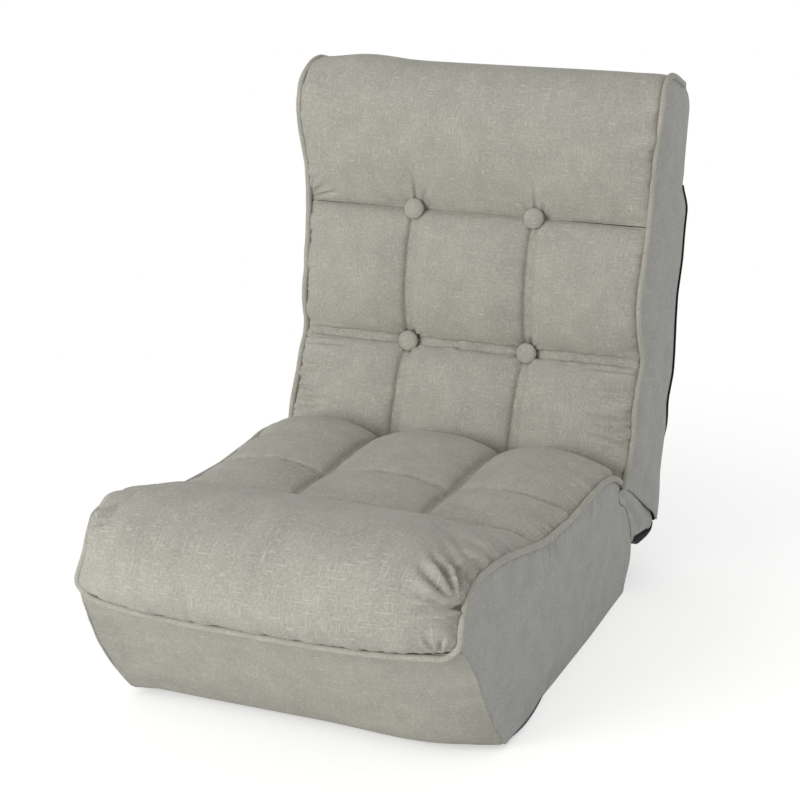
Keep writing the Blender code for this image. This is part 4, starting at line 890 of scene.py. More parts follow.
runs = [smooth_run(line, 0.001) for line in (SEAT_FRONT, FRONT_MIDDLE)]
up = np.linspace(0.0, 1.0, 41)
corner, middle = (np.stack([np.interp(up * gone[-1], gone, run[:, k]) for k in (0, 1)], axis=1)
                  for run, gone in runs)
across = np.sin(np.linspace(-1.0, 1.0, 101) * 1.35) / math.sin(1.35)
half = [PANEL_X + FRONT_X - seat_narrower(corner[:, 0], corner[:, 1], side) for side in (-1, 1)]
x = spread(across, half)
turned = (np.abs(across) ** 5)[None, :]
corner_y = [corner[:, 0] - corner_ahead(corner[:, 0], corner[:, 1], side) for side in (-1, 1)]
corner_y = np.where(across < 0, corner_y[0][:, None], corner_y[1][:, None])
y = middle[:, :1] * (1 - turned) + corner_y * turned
z = middle[:, 1:] * (1 - turned) + corner[:, 1:] * turned
foot = corner_low(y, z) * smoothstep(across, 0.1, 0.85)
y, z = y - CORNER_FOOT[0] * foot + FOLD_Y, z - CORNER_FOOT[1] * foot
gone = up * runs[0][1][-1]
seat_front = grid_panel("seat_front", np.stack([x, y, z], axis=2), gone)
face_towards(seat_front, (0, -1, 0))
full = 0.2 + 0.8 * hump(1 - up, 0.0, 0.12)[:, None] * np.ones(x.shape)
swell(seat_front, rim(x).ravel(), full.ravel(), pressure=0.3, cap=0.004, ease=0.03, bending=2.0)
away = (1 - up)[:, None] * gone[-1] + np.zeros(x.shape)
co = points_of(seat_front)
co[:, 1] -= gathers(x, away, reach=0.03, deep=0.0007, seed=25).ravel()
put_points(seat_front, co)
lined(seat_front, PANEL_CLOTH)
seat_front.data.materials.append(linen)
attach(seat_front, "seat")
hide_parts("seat_front_panel")

across = np.linspace(-1.0, 1.0, 65)
narrower = REAR_FOOT * (1 - smoothstep(rear_run[:, 1], 0.0, 0.06))
rows = crosswise(across[None, :] * (REAR_HALF - narrower)[:, None], rear_run + (FOLD_Y, 0.0))
seat_rear = grid_panel("seat_rear", rows, run_length(rear_run))
face_towards(seat_rear, (0, 1, 0))
lined(seat_rear, REAR_CLOTH)
seat_rear.data.materials.append(linen_side)
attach(seat_rear, "seat")
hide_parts("seat_rear_panel")

under_run, gone = smooth_run(LINING_LINE, PANEL_STEP)
behind = -under_run[:, 0]
across = np.sin(np.linspace(-1.0, 1.0, 61) * math.pi / 2)
swung = LINING_SWUNG * smoothstep(behind, 0.30, 0.42) * (1 - smoothstep(behind, 0.44, 0.50))
half = [PANEL_X - LINING_IN + swung - seat_narrower(under_run[:, 0], under_run[:, 1], side)
        for side in (-1, 1)]
x = spread(across, half)
turned = (np.abs(across) ** 5)[None, :]
foot = smoothstep(across, 0.1, 0.85)
front_y, front_z = (FRONT_MIDDLE[0][k] * (1 - turned) + SEAT_FRONT[0][k] * turned
                    - CORNER_FOOT[k] * foot for k in (0, 1))
ahead = smoothstep(gone, gone[-1] - 0.16, gone[-1])[:, None]
y = under_run[:, :1] * (1 - ahead) + (front_y + 0.005) * ahead
z = under_run[:, 1:] * (1 - ahead) + (front_z + 0.002) * ahead
y = y - corner_ahead(under_run[:, :1], under_run[:, 1:], -1) * (across < 0) * turned + FOLD_Y
z = np.maximum(z, LINING_FLOOR)
rows = np.stack([x, y, z], axis=2)
seat_under = grid_panel("seat_under", rows, gone)
face_towards(seat_under, (0, 0, -1))
lined(seat_under, LINING_CLOTH)
seat_under.data.materials.append(black)
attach(seat_under, "seat")
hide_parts("seat_bottom_cover")


# Piping
# Cords covered in bias strips of the same cloth, sewn into the seams: one round the top
# of the seat here, and one up each side of the back later on. A cord wavers slightly
# where the needle has caught it.
PIPING_RADIUS = 0.0047
PIPING_LINEN = (0.465, 0.452, 0.395)
PIPING_WAVER = 0.0011
PIPING_STEP = 0.003
PIPING_SIDES = 12
CORD_RAISED = 0.0042          # how far a cord's middle stands out from its seam
CORD_IN = 0.0008              # and how far it lies in from the side panel
CORD_AHEAD, CORD_LOW = 0.0052, 0.0038   # how far the front cord stands ahead and below


def piping_tree():
    """A curve becomes a covered cord with its own flat pattern."""
    tree = bpy.data.node_groups.new("Covered cord", "GeometryNodeTree")
    socket(tree, "Geometry", "NodeSocketGeometry", "INPUT")
    socket(tree, "Radius", "NodeSocketFloat", "INPUT", PIPING_RADIUS)
    socket(tree, "Waver", "NodeSocketFloat", "INPUT", PIPING_WAVER)
    socket(tree, "Step", "NodeSocketFloat", "INPUT", PIPING_STEP)
    socket(tree, "Cloth", "NodeSocketMaterial", "INPUT")
    socket(tree, "Geometry", "NodeSocketGeometry", "OUTPUT")
    given = wired(tree, "NodeGroupInput").outputs

    def measured(curve, name):
        """The curve, and how far along it each of its points lies."""
        keep = tree.nodes.new("GeometryNodeCaptureAttribute")
        keep.capture_items.new("FLOAT", name)
        along = wired(tree, "GeometryNodeSplineParameter").outputs["Length"]
        tree.links.new(curve, keep.inputs["Geometry"])
        tree.links.new(along, keep.inputs[name])
        return keep.outputs["Geometry"], keep.outputs[name]

    even = wired(tree, "GeometryNodeResampleCurve",
                 {"Curve": given["Geometry"], "Length": given["Step"]}, mode="LENGTH")
    noise = wired(tree, "ShaderNodeTexNoise", {"Scale": 42.0, "Detail": 1.0})
    centred = wired(tree, "ShaderNodeVectorMath", {0: noise.outputs["Color"], 1: (0.5, 0.5, 0.5)},
                    operation="SUBTRACT")
    shift = wired(tree, "ShaderNodeVectorMath",
                  {0: centred.outputs[0], "Scale": given["Waver"]}, operation="SCALE")
    wavy = wired(tree, "GeometryNodeSetPosition",
                 {"Geometry": even.outputs["Curve"], "Offset": shift.outputs[0]})
    run, along = measured(wavy.outputs[0], "Along")
    circle = wired(tree, "GeometryNodeCurvePrimitiveCircle",
                   {"Resolution": PIPING_SIDES, "Radius": given["Radius"]})
    ring, around = measured(circle.outputs["Curve"], "Round")
    skin = wired(tree, "GeometryNodeCurveToMesh",
                 {"Fill Caps": True, "Curve": run, "Profile Curve": ring})
    flat = wired(tree, "ShaderNodeCombineXYZ", {0: around, 1: along})
    pattern = wired(tree, "GeometryNodeStoreNamedAttribute",
                    {"Name": "cloth", "Geometry": skin.outputs["Mesh"], "Value": flat.outputs[0]},
                    data_type="FLOAT2", domain="CORNER")
    smooth = wired(tree, "GeometryNodeSetShadeSmooth",
                   {"Geometry": pattern.outputs["Geometry"]})
    whole = wired(tree, "GeometryNodeRealizeInstances",
                  {"Geometry": smooth.outputs["Geometry"]})
    dressed = wired(tree, "GeometryNodeSetMaterial",
                    {"Geometry": whole.outputs["Geometry"], "Material": given["Cloth"]})
    wired(tree, "NodeGroupOutput", {"Geometry": dressed.outputs["Geometry"]})
    return tree


def cord_along(name, points, tree, cloth):
    """A covered cord along the points, as a plain mesh."""
    curve = bpy.data.curves.new(name + "_run", "CURVE")
    curve.dimensions = "3D"
    spline = curve.splines.new("POLY")
    spline.points.add(len(points) - 1)
    spline.points.foreach_set("co", np.hstack([points, np.ones((len(points), 1))]).ravel())
    run = placed(name + "_run", curve)
    mod = run.modifiers.new("cord", "NODES")
    mod.node_group = tree
    by_name = {item.name: item.identifier for item in tree.interface.items_tree
               if item.item_type == "SOCKET" and item.in_out == "INPUT"}
    mod[by_name["Cloth"]] = cloth
    graph = bpy.context.evaluated_depsgraph_get()
    mesh = bpy.data.meshes.new_from_object(run.evaluated_get(graph), depsgraph=graph)
    bpy.data.objects.remove(run)
    bpy.data.curves.remove(curve)
    mesh.name = name
    return placed(name, mesh)


piping_cloth = linen_cloth("piping_linen", PIPING_LINEN)
covered_cord = piping_tree()

line = smooth_run(SEAT_LINE, 0.006)[0]
beside = line + facing(line, (0.0, 1.0)) * CORD_RAISED
side_run = {}
for side in (-1, 1):
    side_x = PANEL_X - CORD_IN - seat_narrower(line[:, 0], line[:, 1], side)
    lifted = beside[:, 1] + rear_lift(line[:, 0]) * (side < 0)
    side_run[side] = np.stack([side * side_x, beside[:, 0] + FOLD_Y, lifted], axis=1)[2:]
a = np.linspace(1.0, -1.0, 101)[3:-3]
bow = 1 - np.abs(a) ** 3.5
corner_x = [PANEL_X - CORD_IN - float(seat_narrower(*SEAT_LINE[0], side)) for side in (-1, 1)]
front_piping = np.stack([np.where(a < 0, corner_x[0] * a, corner_x[1] * a),
                         SEAT_LINE[0][0] - CORD_AHEAD + SEAT_BOW[0] * bow + FOLD_Y,
                         SEAT_LINE[0][1] - CORD_LOW + SEAT_BOW[1] * bow], axis=1)
right, left = side_run[1][::-1], side_run[-1]
path = smooth_run(np.vstack([right[::3], right[-1:], front_piping[::4], left[:1], left[3::3]]),
                  0.004)[0]
seat_piping = cord_along("seat_cord", path, covered_cord, piping_cloth)
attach(seat_piping, "seat")
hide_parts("seat_piping")


# Foam
# Blocks of cut foam under the covers of seat, back and head. Tight covers press the
# seat's in at the front corners and the others at their sides, so they are drawn in here.
FOAM = (0.80, 0.74, 0.55)
FOAM_IN = 0.0140              # how far the seat's foam lies in from the side panels
FOAM_DRAWN = 1.25             # and its share of how far those stand in at the front
FOAM_NARROWER = 0.985         # the other blocks, as a share of their own width
# Below this height the other blocks are shifted, clear of the back's foot.
FOAM_FOOT, FOAM_FOOT_SHIFT = 0.12, (0.0, -0.003, 0.004)


def foam_block(name, colour):
    """Cut foam: a pale block of fine cells."""
    made, tree, shader = bare_finish(name, {"Roughness": 0.95})
    place = wired(tree, "ShaderNodeTexCoord")
    cells = wired(tree, "ShaderNodeTexVoronoi",
                  {"Scale": 900.0, "Vector": place.outputs["Object"]}).outputs["Distance"]
    vary_colour(tree, shader, cells, [c * 0.75 for c in colour], colour)
    add_relief(tree, shader, cells, strength=0.5, deep=0.0005)
    return made


foam = foam_block("cut_foam", FOAM)
for cut in ("seat_foam_base", "seat_foam_top", "back_foam_front", "back_foam_rear",
            "head_foam_front", "head_foam_rear"):
    work = bmesh.new()
    work.from_mesh(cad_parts[cut].data)
    bmesh.ops.remove_doubles(work, verts=work.verts, dist=1e-5)
    mesh = bpy.data.meshes.new(cut + "_core")
    work.to_mesh(mesh)
    work.free()
    core = placed(cut + "_core", mesh)
    co = points_of(core)
    if cut.startswith("seat"):
        drawn = [seat_narrower(co[:, 1] - FOLD_Y, co[:, 2], side) * FOAM_DRAWN for side in (-1, 1)]
        co[:, 0] = np.clip(co[:, 0], drawn[0] - (PANEL_X - FOAM_IN), PANEL_X - FOAM_IN - drawn[1])
    else:
        low = co[:, 2:] < FOAM_FOOT
        co = co * (FOAM_NARROWER, 1.0, 1.0) + low * np.array([FOAM_FOOT_SHIFT])
    put_points(core, co)
    mesh.materials.clear()
    mesh.materials.append(foam)
    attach(core, cut.split("_")[0])
    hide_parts(cut)


# Back cushion
# The quilt up the front of the back: puffs in two rows and three columns, tied down by
# two covered buttons. It is sewn to the piping at its sides, and gathered along them.
HINGE_Y, HINGE_Z = 0.29106, 0.110    # the back's places are rearwards and up from here
LEAN = math.radians(10.0)
BACK_SIDE_LINE = ((-0.092, 0.062), (-0.084, 0.100), (-0.073, 0.140), (-0.067, 0.180),
                  (-0.055, 0.215), (-0.041, 0.240), (-0.041, 0.256), (-0.055, 0.278),
                  (-0.069, 0.305), (-0.078, 0.345), (-0.076, 0.400), (-0.071, 0.430),
                  (-0.068, 0.4508))
BACK_MIDDLE_LINE = ((-0.092, 0.062), (-0.088, 0.105), (-0.081, 0.154), (-0.069, 0.200),
                    (-0.054, 0.236), (-0.051, 0.259), (-0.058, 0.285), (-0.066, 0.318),
                    (-0.069, 0.357), (-0.068, 0.400), (-0.066, 0.432), (-0.064, 0.4508))
# Height up the back, and how much further out its right and left side seam stand there.
BACK_WIDTHS = ((0.06, 0.0, 0.0), (0.10, 0.004, 0.005), (0.135, 0.005, 0.008),
               (0.18, 0.001, 0.004), (0.25, 0.0, 0.008), (0.30, -0.002, 0.002),
               (0.345, -0.003, -0.004), (0.40, 0.000, -0.002), (0.45, 0.000, 0.004),
               (0.507, 0.002, 0.006), (0.565, 0.007, 0.016), (0.60, 0.010, 0.020),
               (0.635, 0.011, 0.020), (0.66, 0.008, 0.015), (0.69, 0.004, 0.010))
BACK_HALF = 0.2725            # half the width of the cushion at its side seam
BACK_CROWN = 0.030
BACK_PUFF = 0.060             # how far from its seams a puff is full
BACK_SEAM_LEVEL = 0.30        # height of the cloth on a seam, as a share of the crown
BACK_SINK = 0.014             # how deep the cushion's underside lies below its seams
BACK_OVERHANG = 0.006
BUTTON_ROW = 0.245
BUTTON_PIT, PIT_OVER = 0.010, 0.020
PIT_HELD = 0.70               # inside this share of the pit the cloth is held by the button
# Folds out of the side seams: place along it, direction in degrees.
SIDE_FOLDS = ((0.058, 168), (0.078, 176), (0.098, 184), (0.120, 172), (0.142, 190),
              (0.165, 178))
BUTTON_FOLDS = (35, 75, 118, 152, 200, 242, 290, 335)
PUCKER_BELOW = 0.062          # how far below each button a small pucker lies
PUCKER_FOLDS = ((-150, 0.018, 0.5), (180, 0.02, 0.7), (20, 0.015, 0.5))


def in_room(v, u):
    """From the back's own frame, rearwards and up from the hinge, to the room."""
    return (HINGE_Y + math.cos(LEAN) * v + math.sin(LEAN) * u,
            HINGE_Z - math.sin(LEAN) * v + math.cos(LEAN) * u)


def side_out(u, side):
    """How much further out the right or left side seam stands than a straight one."""
    table = np.array(BACK_WIDTHS)
    return np.interp(u, table[:, 0], table[:, 1 if side > 0 else 2])


def rows_of(side_line, middle_line, seam):
    """Matching rows of points on two smooth lines, with rows at the height of the seam."""
    runs = [smooth_run(points, 0.001) for points in (middle_line, side_line)]
    seams = [float(np.interp(seam, run[:, 1], gone)) for run, gone in runs] if seam else []
    total = [gone[-1] for run, gone in runs]
    want = places(0.0, float(total[0]), ROW_STEP, seams[:1])
    stops = [[0.0, *seams[k:k + 1], total[k]] for k in (0, 1)]
    found = []
    for (run, gone), at in zip(runs, (want, np.interp(want, *stops))):
        found.append(np.stack([np.interp(at, gone, run[:, k]) for k in (0, 1)], axis=1))
    return found[1], found[0], want, seams[:1]


def back_pad(name, side_line, middle_line, seam, shape, overhang):
    """A cushion between its side seams; shape gives its height and what is held."""
    side_run, middle, gone, seams = rows_of(side_line, middle_line, seam)
    normal = facing(middle, (-1.0, 0.0))
    across = places(-BACK_HALF, BACK_HALF, COLUMN_STEP, (-COLUMN, COLUMN), near_sides) / BACK_HALF
    high, held, full = shape(across, gone, seams)
    edge_share = (np.abs(across) ** 8)[None, :]
    v, u = (middle[:, k:k + 1] * (1 - edge_share) + side_run[:, k:k + 1] * edge_share
            + normal[:, k:k + 1] * high for k in (0, 1))
    ends = rounded(np.minimum(gone, gone[-1] - gone) / 0.03)[:, None]
    bulge = overhang * hump(np.abs(across), 0.94, 0.045)[None, :] * ends
    bulge[:, (0, -1)] = 0.0
    half = np.where(across < 0, BACK_HALF + side_out(side_run[:, 1], -1)[:, None],
                    BACK_HALF + side_out(side_run[:, 1], 1)[:, None])
    half = BACK_HALF + (half - BACK_HALF) * np.abs(across)[None, :] ** 3
    x = half * across[None, :] + np.sign(across)[None, :] * bulge
    drop = np.stack([np.zeros(len(gone)),
                     *in_room(-normal[:, 0] * BACK_SINK, -normal[:, 1] * BACK_SINK)], axis=1)
    drop[:, 1:] -= (HINGE_Y, HINGE_Z)
    made = cushion(name, np.stack([x, *in_room(v, u)], axis=2), drop,
                   on_cloth(BACK_HALF * across[None, :] + np.zeros(x.shape), gone))
    pad = np.zeros(2 * len(gone))
    held = np.concatenate([np.maximum(held, rim(held)).ravel(), pad + 1])
    return made, held, np.concatenate([full.ravel(), pad]), seams, gone[-1]


def back_shape(across, gone, seams):
    """The two rows of puffs, and the dips of their buttons."""
    row_away = np.abs(gone - seams[0])[:, None]
    column_away = np.abs(np.abs(across) * BACK_HALF - COLUMN)[None, :]
    over = (gone[-1] - gone)[:, None]
    ends = rounded(gone / 0.060)[:, None] * (0.10 + 0.90 * plump(over, 0.070))
    ends = ends * rounded(over / 0.008)
    sides = ((1 - np.abs(across) ** 6) ** 0.6)[None, :]
    from_button = column_away**2 + row_away**2
    pit = np.exp(-from_button / PIT_OVER**2)
    puff = plump(row_away, BACK_PUFF) * plump(column_away, BACK_PUFF)
    puff = BACK_SEAM_LEVEL + (1 - BACK_SEAM_LEVEL) * puff
    high = BACK_CROWN * ends * sides * puff - BUTTON_PIT * pit
    held = np.zeros(high.shape)
    held[row_away[:, 0] < 1e-5] = 1
    held[:, column_away[0] < 1e-5] = 1
    held[pit > PIT_HELD] = 1
    full = 0.25 + 0.6 * smoothstep(np.abs(across), 0.70, 0.95)[None, :]
    full = full + 0.5 * np.maximum(valley(row_away, SEAM_WIDTH), valley(column_away, SEAM_WIDTH))
    full = full + 0.7 * np.exp(-from_button / 0.05**2)
    return high, held, np.clip(full, 0, 1)


def back_work(x, y):
    """Its seams, the gathers along them, and the folds out of sides and buttons."""
    away = np.abs(y - back_seam)
    made = sewn(away) * 1.2 * (1 - 0.85 * smoothstep(np.abs(x), 0.246, 0.264))
    made += gathers(x, away, reach=0.028, deep=0.0016, seed=31 + np.sign(y - back_seam))
    column = np.abs(np.abs(x) - COLUMN)
    made += sewn(column) + gathers(y, column, reach=0.022, deep=0.0010, seed=35 + np.sign(x))
    low = 1 + hump(y, 0.075, 0.06)
    for side, seed in ((1, 41), (-1, 43)):
        made += low * gathers(y, BACK_HALF - side * x, reach=0.055, deep=0.0024, seed=seed)
        for at, angle in SIDE_FOLDS:
            made += fan(side * x - BACK_HALF - 0.004, y - at - 0.004 * side,
                        ((angle, 0.080 + 0.15 * (at - 0.10), 0.8),),
                        deep=0.0046, start=0.022)
    made += gathers(x, back_long - y, reach=0.022, deep=0.0010, seed=45)
    pucker = y - back_seam + PUCKER_BELOW
    for side in (-1, 1):
        made += fan(side * (x - side * COLUMN), pucker, PUCKER_FOLDS, deep=0.0045)
        for angle in BUTTON_FOLDS:
            made += fan(x - side * COLUMN, y - back_seam,
                        ((angle + 7 * side, 0.040, 0.5),), deep=0.0045)
    return made


back_cushion, held, full, seams, back_long = back_pad(
    "back_cushion", BACK_SIDE_LINE, BACK_MIDDLE_LINE, BUTTON_ROW, back_shape, BACK_OVERHANG)
back_seam = seams[0]
swell(back_cushion, held, full, pressure=4.0, cap=0.024, ease=0.14)
finer(back_cushion)
worked(back_cushion, back_work)
back_cushion.data.materials.append(linen)
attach(back_cushion, "back")
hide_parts("back_quilt")


# Head cushion
# One fat roll across the head section. Its lower edge is sewn to the back cushion along
# the upper row of buttons, and it rolls over the top and on to the rear seam.
HEAD_SIDE_LINE = ((-0.068, 0.4512), (-0.071, 0.472), (-0.079, 0.515), (-0.089, 0.565),
                  (-0.092, 0.610), (-0.086, 0.640), (-0.070, 0.660), (-0.047, 0.670),
                  (-0.021, 0.6705))
HEAD_MIDDLE_LINE = ((-0.064, 0.4512), (-0.067, 0.470), (-0.071, 0.515), (-0.073, 0.570),
                    (-0.074, 0.615), (-0.069, 0.640), (-0.056, 0.660), (-0.040, 0.668),
                    (-0.021, 0.6705))
HEAD_CROWN = 0.042
HEAD_OVERHANG = 0.008
HEAD_RISE = 0.125             # from its lower seam to where the roll is full
HEAD_OVER = 0.17              # and from there down to its rear seam
LUMP_LOW, LUMP_LEFT = 0.001, 0.009   # a lump near the top, more of it at the left
HEAD_BUTTON_FOLDS = ((62, 0.06, 0.5), (90, 0.07, 0.6), (122, 0.06, 0.5))
HEAD_LEFT_FOLDS = ((160, 0.06, 0.6), (140, 0.05, 0.7), (120, 0.05, 0.5))


def head_shape(across, gone, seams):
    """The roll, dented over the buttons of its lower seam."""
    over = (gone[-1] - gone)[:, None]
    low = np.clip(gone[:, None] / HEAD_RISE, 0, 1)
    ends = (0.04 + 0.96 * low * (2 - low)) * rounded(gone[:, None] / 0.008)
    ends = ends * (1 - (1 - np.clip(over / HEAD_OVER, 0, 1)) ** 2.2) * rounded(over / 0.03)
    sides = ((1 - np.abs(across) ** 7) ** 0.55)[None, :]
    off = np.abs(np.abs(across) * BACK_HALF - COLUMN)[None, :]
    dent = hump(off, 0.0, 0.035) * hump(gone, 0.0, 0.07)[:, None]
    between = smoothstep(-np.abs(across), -0.45, -0.25)[None, :] * hump(gone, 0.0, 0.05)[:, None]
    lump = LUMP_LOW + LUMP_LEFT * hump(across, -0.72, 0.22)[None, :]
    lump = lump * hump(over, 0.045, 0.045)
    high = HEAD_CROWN * ends * sides * (1 - 0.45 * dent - 0.15 * between) + lump * sides
    full = 0.25 + 0.6 * smoothstep(np.abs(across), 0.75, 0.97)[None, :] + 0.6 * dent
    full = full + 0.4 * hump(gone, 0.0, 0.03)[:, None]
    return high, np.zeros(high.shape), np.clip(full, 0, 1)


def head_work(x, y):
    """Gathers along its seams, and the folds up from the buttons and in from the left."""
    made = gathers(x, y, reach=0.026, deep=0.0013, seed=51)
    for side, seed in ((1, 53), (-1, 55)):
        made += gathers(y, BACK_HALF - side * x, reach=0.045, deep=0.0020, seed=seed)
        made += fan(x - side * COLUMN, y + 0.006, HEAD_BUTTON_FOLDS, deep=0.0045)
    made += fan(-x - BACK_HALF, y - 0.003, HEAD_LEFT_FOLDS, deep=0.0060)
    return made


head_cushion, held, full = back_pad(
    "head_cushion", HEAD_SIDE_LINE, HEAD_MIDDLE_LINE, None, head_shape, HEAD_OVERHANG)[:3]
swell(head_cushion, held, full, pressure=4.0, cap=0.022, ease=0.12)
finer(head_cushion)
worked(head_cushion, head_work)
head_cushion.data.materials.append(linen)
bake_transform(head_cushion)
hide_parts("head_quilt")


# Buttons
# Four moulds covered in the same cloth, drawn down by twine through the foam. The cloth
# is gathered under each rim.
BUTTON_DOME = ((0.0000, 0.0062), (0.0040, 0.0061), (0.0080, 0.0057), (0.0115, 0.0049),
               (0.0138, 0.0038), (0.0153, 0.0022), (0.0159, 0.0006), (0.0158, -0.0012),
               (0.0148, -0.0030), (0.0122, -0.0042), (0.0, -0.0048))   # radius, height
BUTTON_TURNS = 48             # points round a button
PLEATS, PLEAT_DEPTH = 12, 0.02
# Row, place in the back's frame, and how much further it tips than the back.
BUTTONS = (("lower", -0.065, 0.245, 0.0), ("upper", -0.078, 0.4513, 0.04))


def button(name, side, v, u, tip):
    """A covered button at one side of the middle, pleated under its rim."""
    work = bmesh.new()
    cloth = work.loops.layers.uv.new("cloth")
    rings = []
    for radius, height in BUTTON_DOME[1:-1]:
        ring = []
        for k in range(BUTTON_TURNS):
            a = 2 * math.pi * k / BUTTON_TURNS
            pleat = 1 + (PLEAT_DEPTH * math.cos(PLEATS * a) if height < 0.0 else 0.0)
            ring.append(work.verts.new((radius * pleat * math.cos(a),
                                        radius * pleat * math.sin(a), height)))
        rings.append(ring)
    tip_top = work.verts.new((0, 0, BUTTON_DOME[0][1]))
    tip_low = work.verts.new((0, 0, BUTTON_DOME[-1][1]))
    for k in range(BUTTON_TURNS):
        n = (k + 1) % BUTTON_TURNS
        work.faces.new((tip_top, rings[0][k], rings[0][n]))
        work.faces.new((tip_low, rings[-1][n], rings[-1][k]))
        for a, b in zip(rings, rings[1:]):
            work.faces.new((a[k], b[k], b[n], a[n]))
    for face in work.faces:
        for loop in face.loops:
            loop[cloth].uv = (loop.vert.co.x * 1.1 + side, loop.vert.co.y * 1.1 + u)
    made = closed_piece(name, work)
    # the dome looks forward, along the back's own lean
    lean = LEAN + tip
    co = points_of(made)
    y, z = in_room(v, u)
    put_points(made, np.stack([co[:, 0] + side * COLUMN,
                               y - co[:, 2] * math.cos(lean) + co[:, 1] * math.sin(lean),
                               z + co[:, 2] * math.sin(lean) + co[:, 1] * math.cos(lean)], axis=1))
    return made


for place, v, u, tip in BUTTONS:
    for side, word in ((-1, "left"), (1, "right")):
        piece = button(f"{place}_{word}_button", side, v, u, tip)
        piece.data.materials.append(linen)
        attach(piece, "back")
        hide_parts(f"button_{place}_{word}")


# Back border
# The cloth round the back and head: one side panel up each side, black lining down the
# rear, a rear panel with the cap of the head, and a cord up each side.
BACK_RING_FRONT = BACK_SIDE_LINE + HEAD_SIDE_LINE[1:]
BACK_RING_TOP = ((-0.021, 0.6705), (0.030, 0.665), (0.066, 0.660), (0.080, 0.654),
                 (0.086, 0.641))
BACK_RING_REAR = ((0.086, 0.641), (0.087, 0.590), (0.087, 0.545), (0.093, 0.515),
                  (0.106, 0.493), (0.1095, 0.470), (0.110, 0.300), (0.110, 0.100),
                  (0.108, 0.000), (0.101, -0.0165))
BACK_RING_FOOT = ((0.101, -0.0165), (0.0933, -0.00825), (0.0439, 0.01375), (-0.0098, 0.0360),
                  (-0.0543, 0.0523), (-0.092, 0.062))
# Height up the back, and how much further out a side panel's rear edge stands there.
REAR_WIDTHS = ((-0.03, 0.006), (0.0, 0.004), (0.10, -0.001), (0.17, 0.000), (0.22, 0.006),
               (0.28, 0.006), (0.43, 0.005), (0.48, 0.006), (0.51, -0.001), (0.53, 0.000),
               (0.60, -0.006), (0.66, -0.007))
# Half the width of each rear panel, and how far it stands out rearwards.
HEAD_REAR_HALF, HEAD_REAR_BELLY = 0.2745, 0.004
BACK_REAR_HALF, BACK_REAR_BELLY, BACK_REAR_ROLL = 0.2790, 0.010, 0.0035
REAR_SQUARE = 24              # the belly of the lining runs on nearly to its sides
CORD_TURNED = 0.007           # how far a cord turns in over the head's top


def out_of_room(y, z):
    """The other way round: from the room to the back's own frame."""
    y, z = y - HINGE_Y, z - HINGE_Z
    return math.cos(LEAN) * y - math.sin(LEAN) * z, math.sin(LEAN) * y + math.cos(LEAN) * z


def rear_out(v, u):
    """How much further out a side panel stands towards the rear."""
    table = np.array(REAR_WIDTHS)
    return np.interp(u, table[:, 0], table[:, 1]) * smoothstep(v, -0.06, 0.095)


runs = [smooth_run(r, PANEL_STEP)[0]
        for r in (BACK_RING_FRONT, BACK_RING_TOP, BACK_RING_REAR, BACK_RING_FOOT)]
back_ring = np.vstack([r[:-1] for r in runs])
for side, word in ((-1, "left"), (1, "right")):
    piece, points, deep = panel(f"back_side_{word}", back_ring, PANEL_STEP)
    v, u = points[:, 0], points[:, 1]
    x = PANEL_X + rear_out(v, u) + side_out(u, side) + PANEL_SWELL * smoothstep(deep, 0.0, 0.05)
    y, z = in_room(v, u)
    put_points(piece, np.stack([side * x, y, z], axis=1))
    face_towards(piece, (side, 0, 0))
    away = from_edge(points, runs[0])
    full = 0.3 + 0.5 * hump(away, 0.0, 0.035) + 0.6 * hump(u, 0.19, 0.06)
    swell(piece, (deep < 0.001).astype(float), full,
          pressure=0.5, cap=0.006, ease=0.06, bending=1.5)
    lined(piece, PANEL_CLOTH)
    co = points_of(piece)
    v, u = out_of_room(co[:, 1], co[:, 2])
    away = from_edge(np.stack([v, u], axis=1), runs[0])
    more = 1 + 1.2 * hump(u, 0.15, 0.06)
    co[:, 0] += side * more * gathers(u, away, reach=0.06, deep=0.0018, seed=60 + side)
    put_points(piece, co)
    piece.data.materials.append(linen_side)
    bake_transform(piece)
    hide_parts(f"back_side_panel_{word}", f"head_side_panel_{word}")


def across_back(name, line, half, belly, power=4, roll=0.0):
    """A panel across the chair along a line in the back's own frame, bellied rearwards."""
    run, gone = smooth_run(line, 0.008)
    normal = facing(run, (-1.0, 0.0)) * -1.0
    across = np.sin(np.linspace(-1.0, 1.0, 73) * 1.4) / math.sin(1.4)
    shape = np.sin(math.pi * np.clip(gone / gone[-1], 0, 1))[:, None] ** 0.7
    out = belly * (1 - np.abs(across) ** power)[None, :] * shape + roll * shape
    x = across * (half + rear_out(run[:, 0], run[:, 1]) + np.where(
        across[:, None] < 0, side_out(run[:, 1], -1), side_out(run[:, 1], 1))).T
    x -= (across[:, None] * 0.006 * (1 - smoothstep(run[:, 1], 0.08, 0.16)) * (roll > 0)).T
    y, z = in_room(run[:, :1] + normal[:, :1] * out, run[:, 1:] + normal[:, 1:] * out)
    rows = np.stack([x, y, z], axis=2)
    made = grid_panel(name, rows, gone)
    face_towards(made, (0, 1, 0))
    return made, rows


head_rear, rows = across_back("head_rear", BACK_RING_TOP + BACK_RING_REAR[1:4],
                              HEAD_REAR_HALF, HEAD_REAR_BELLY)
edge = rim(rows).ravel()
swell(head_rear, edge, np.full(len(edge), 0.4), pressure=0.4, cap=0.004, ease=0.03, bending=2.0)
lined(head_rear, REAR_CLOTH)
head_rear.data.materials.append(linen_side)
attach(head_rear, "head")
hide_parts("head_rear_panel")

back_rear, rows = across_back("back_rear", BACK_RING_REAR[3:], BACK_REAR_HALF,
                              BACK_REAR_BELLY, REAR_SQUARE, BACK_REAR_ROLL)
lined(back_rear, LINING_CLOTH)
back_rear.data.materials.append(black)
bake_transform(back_rear)
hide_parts("back_rear_cover")

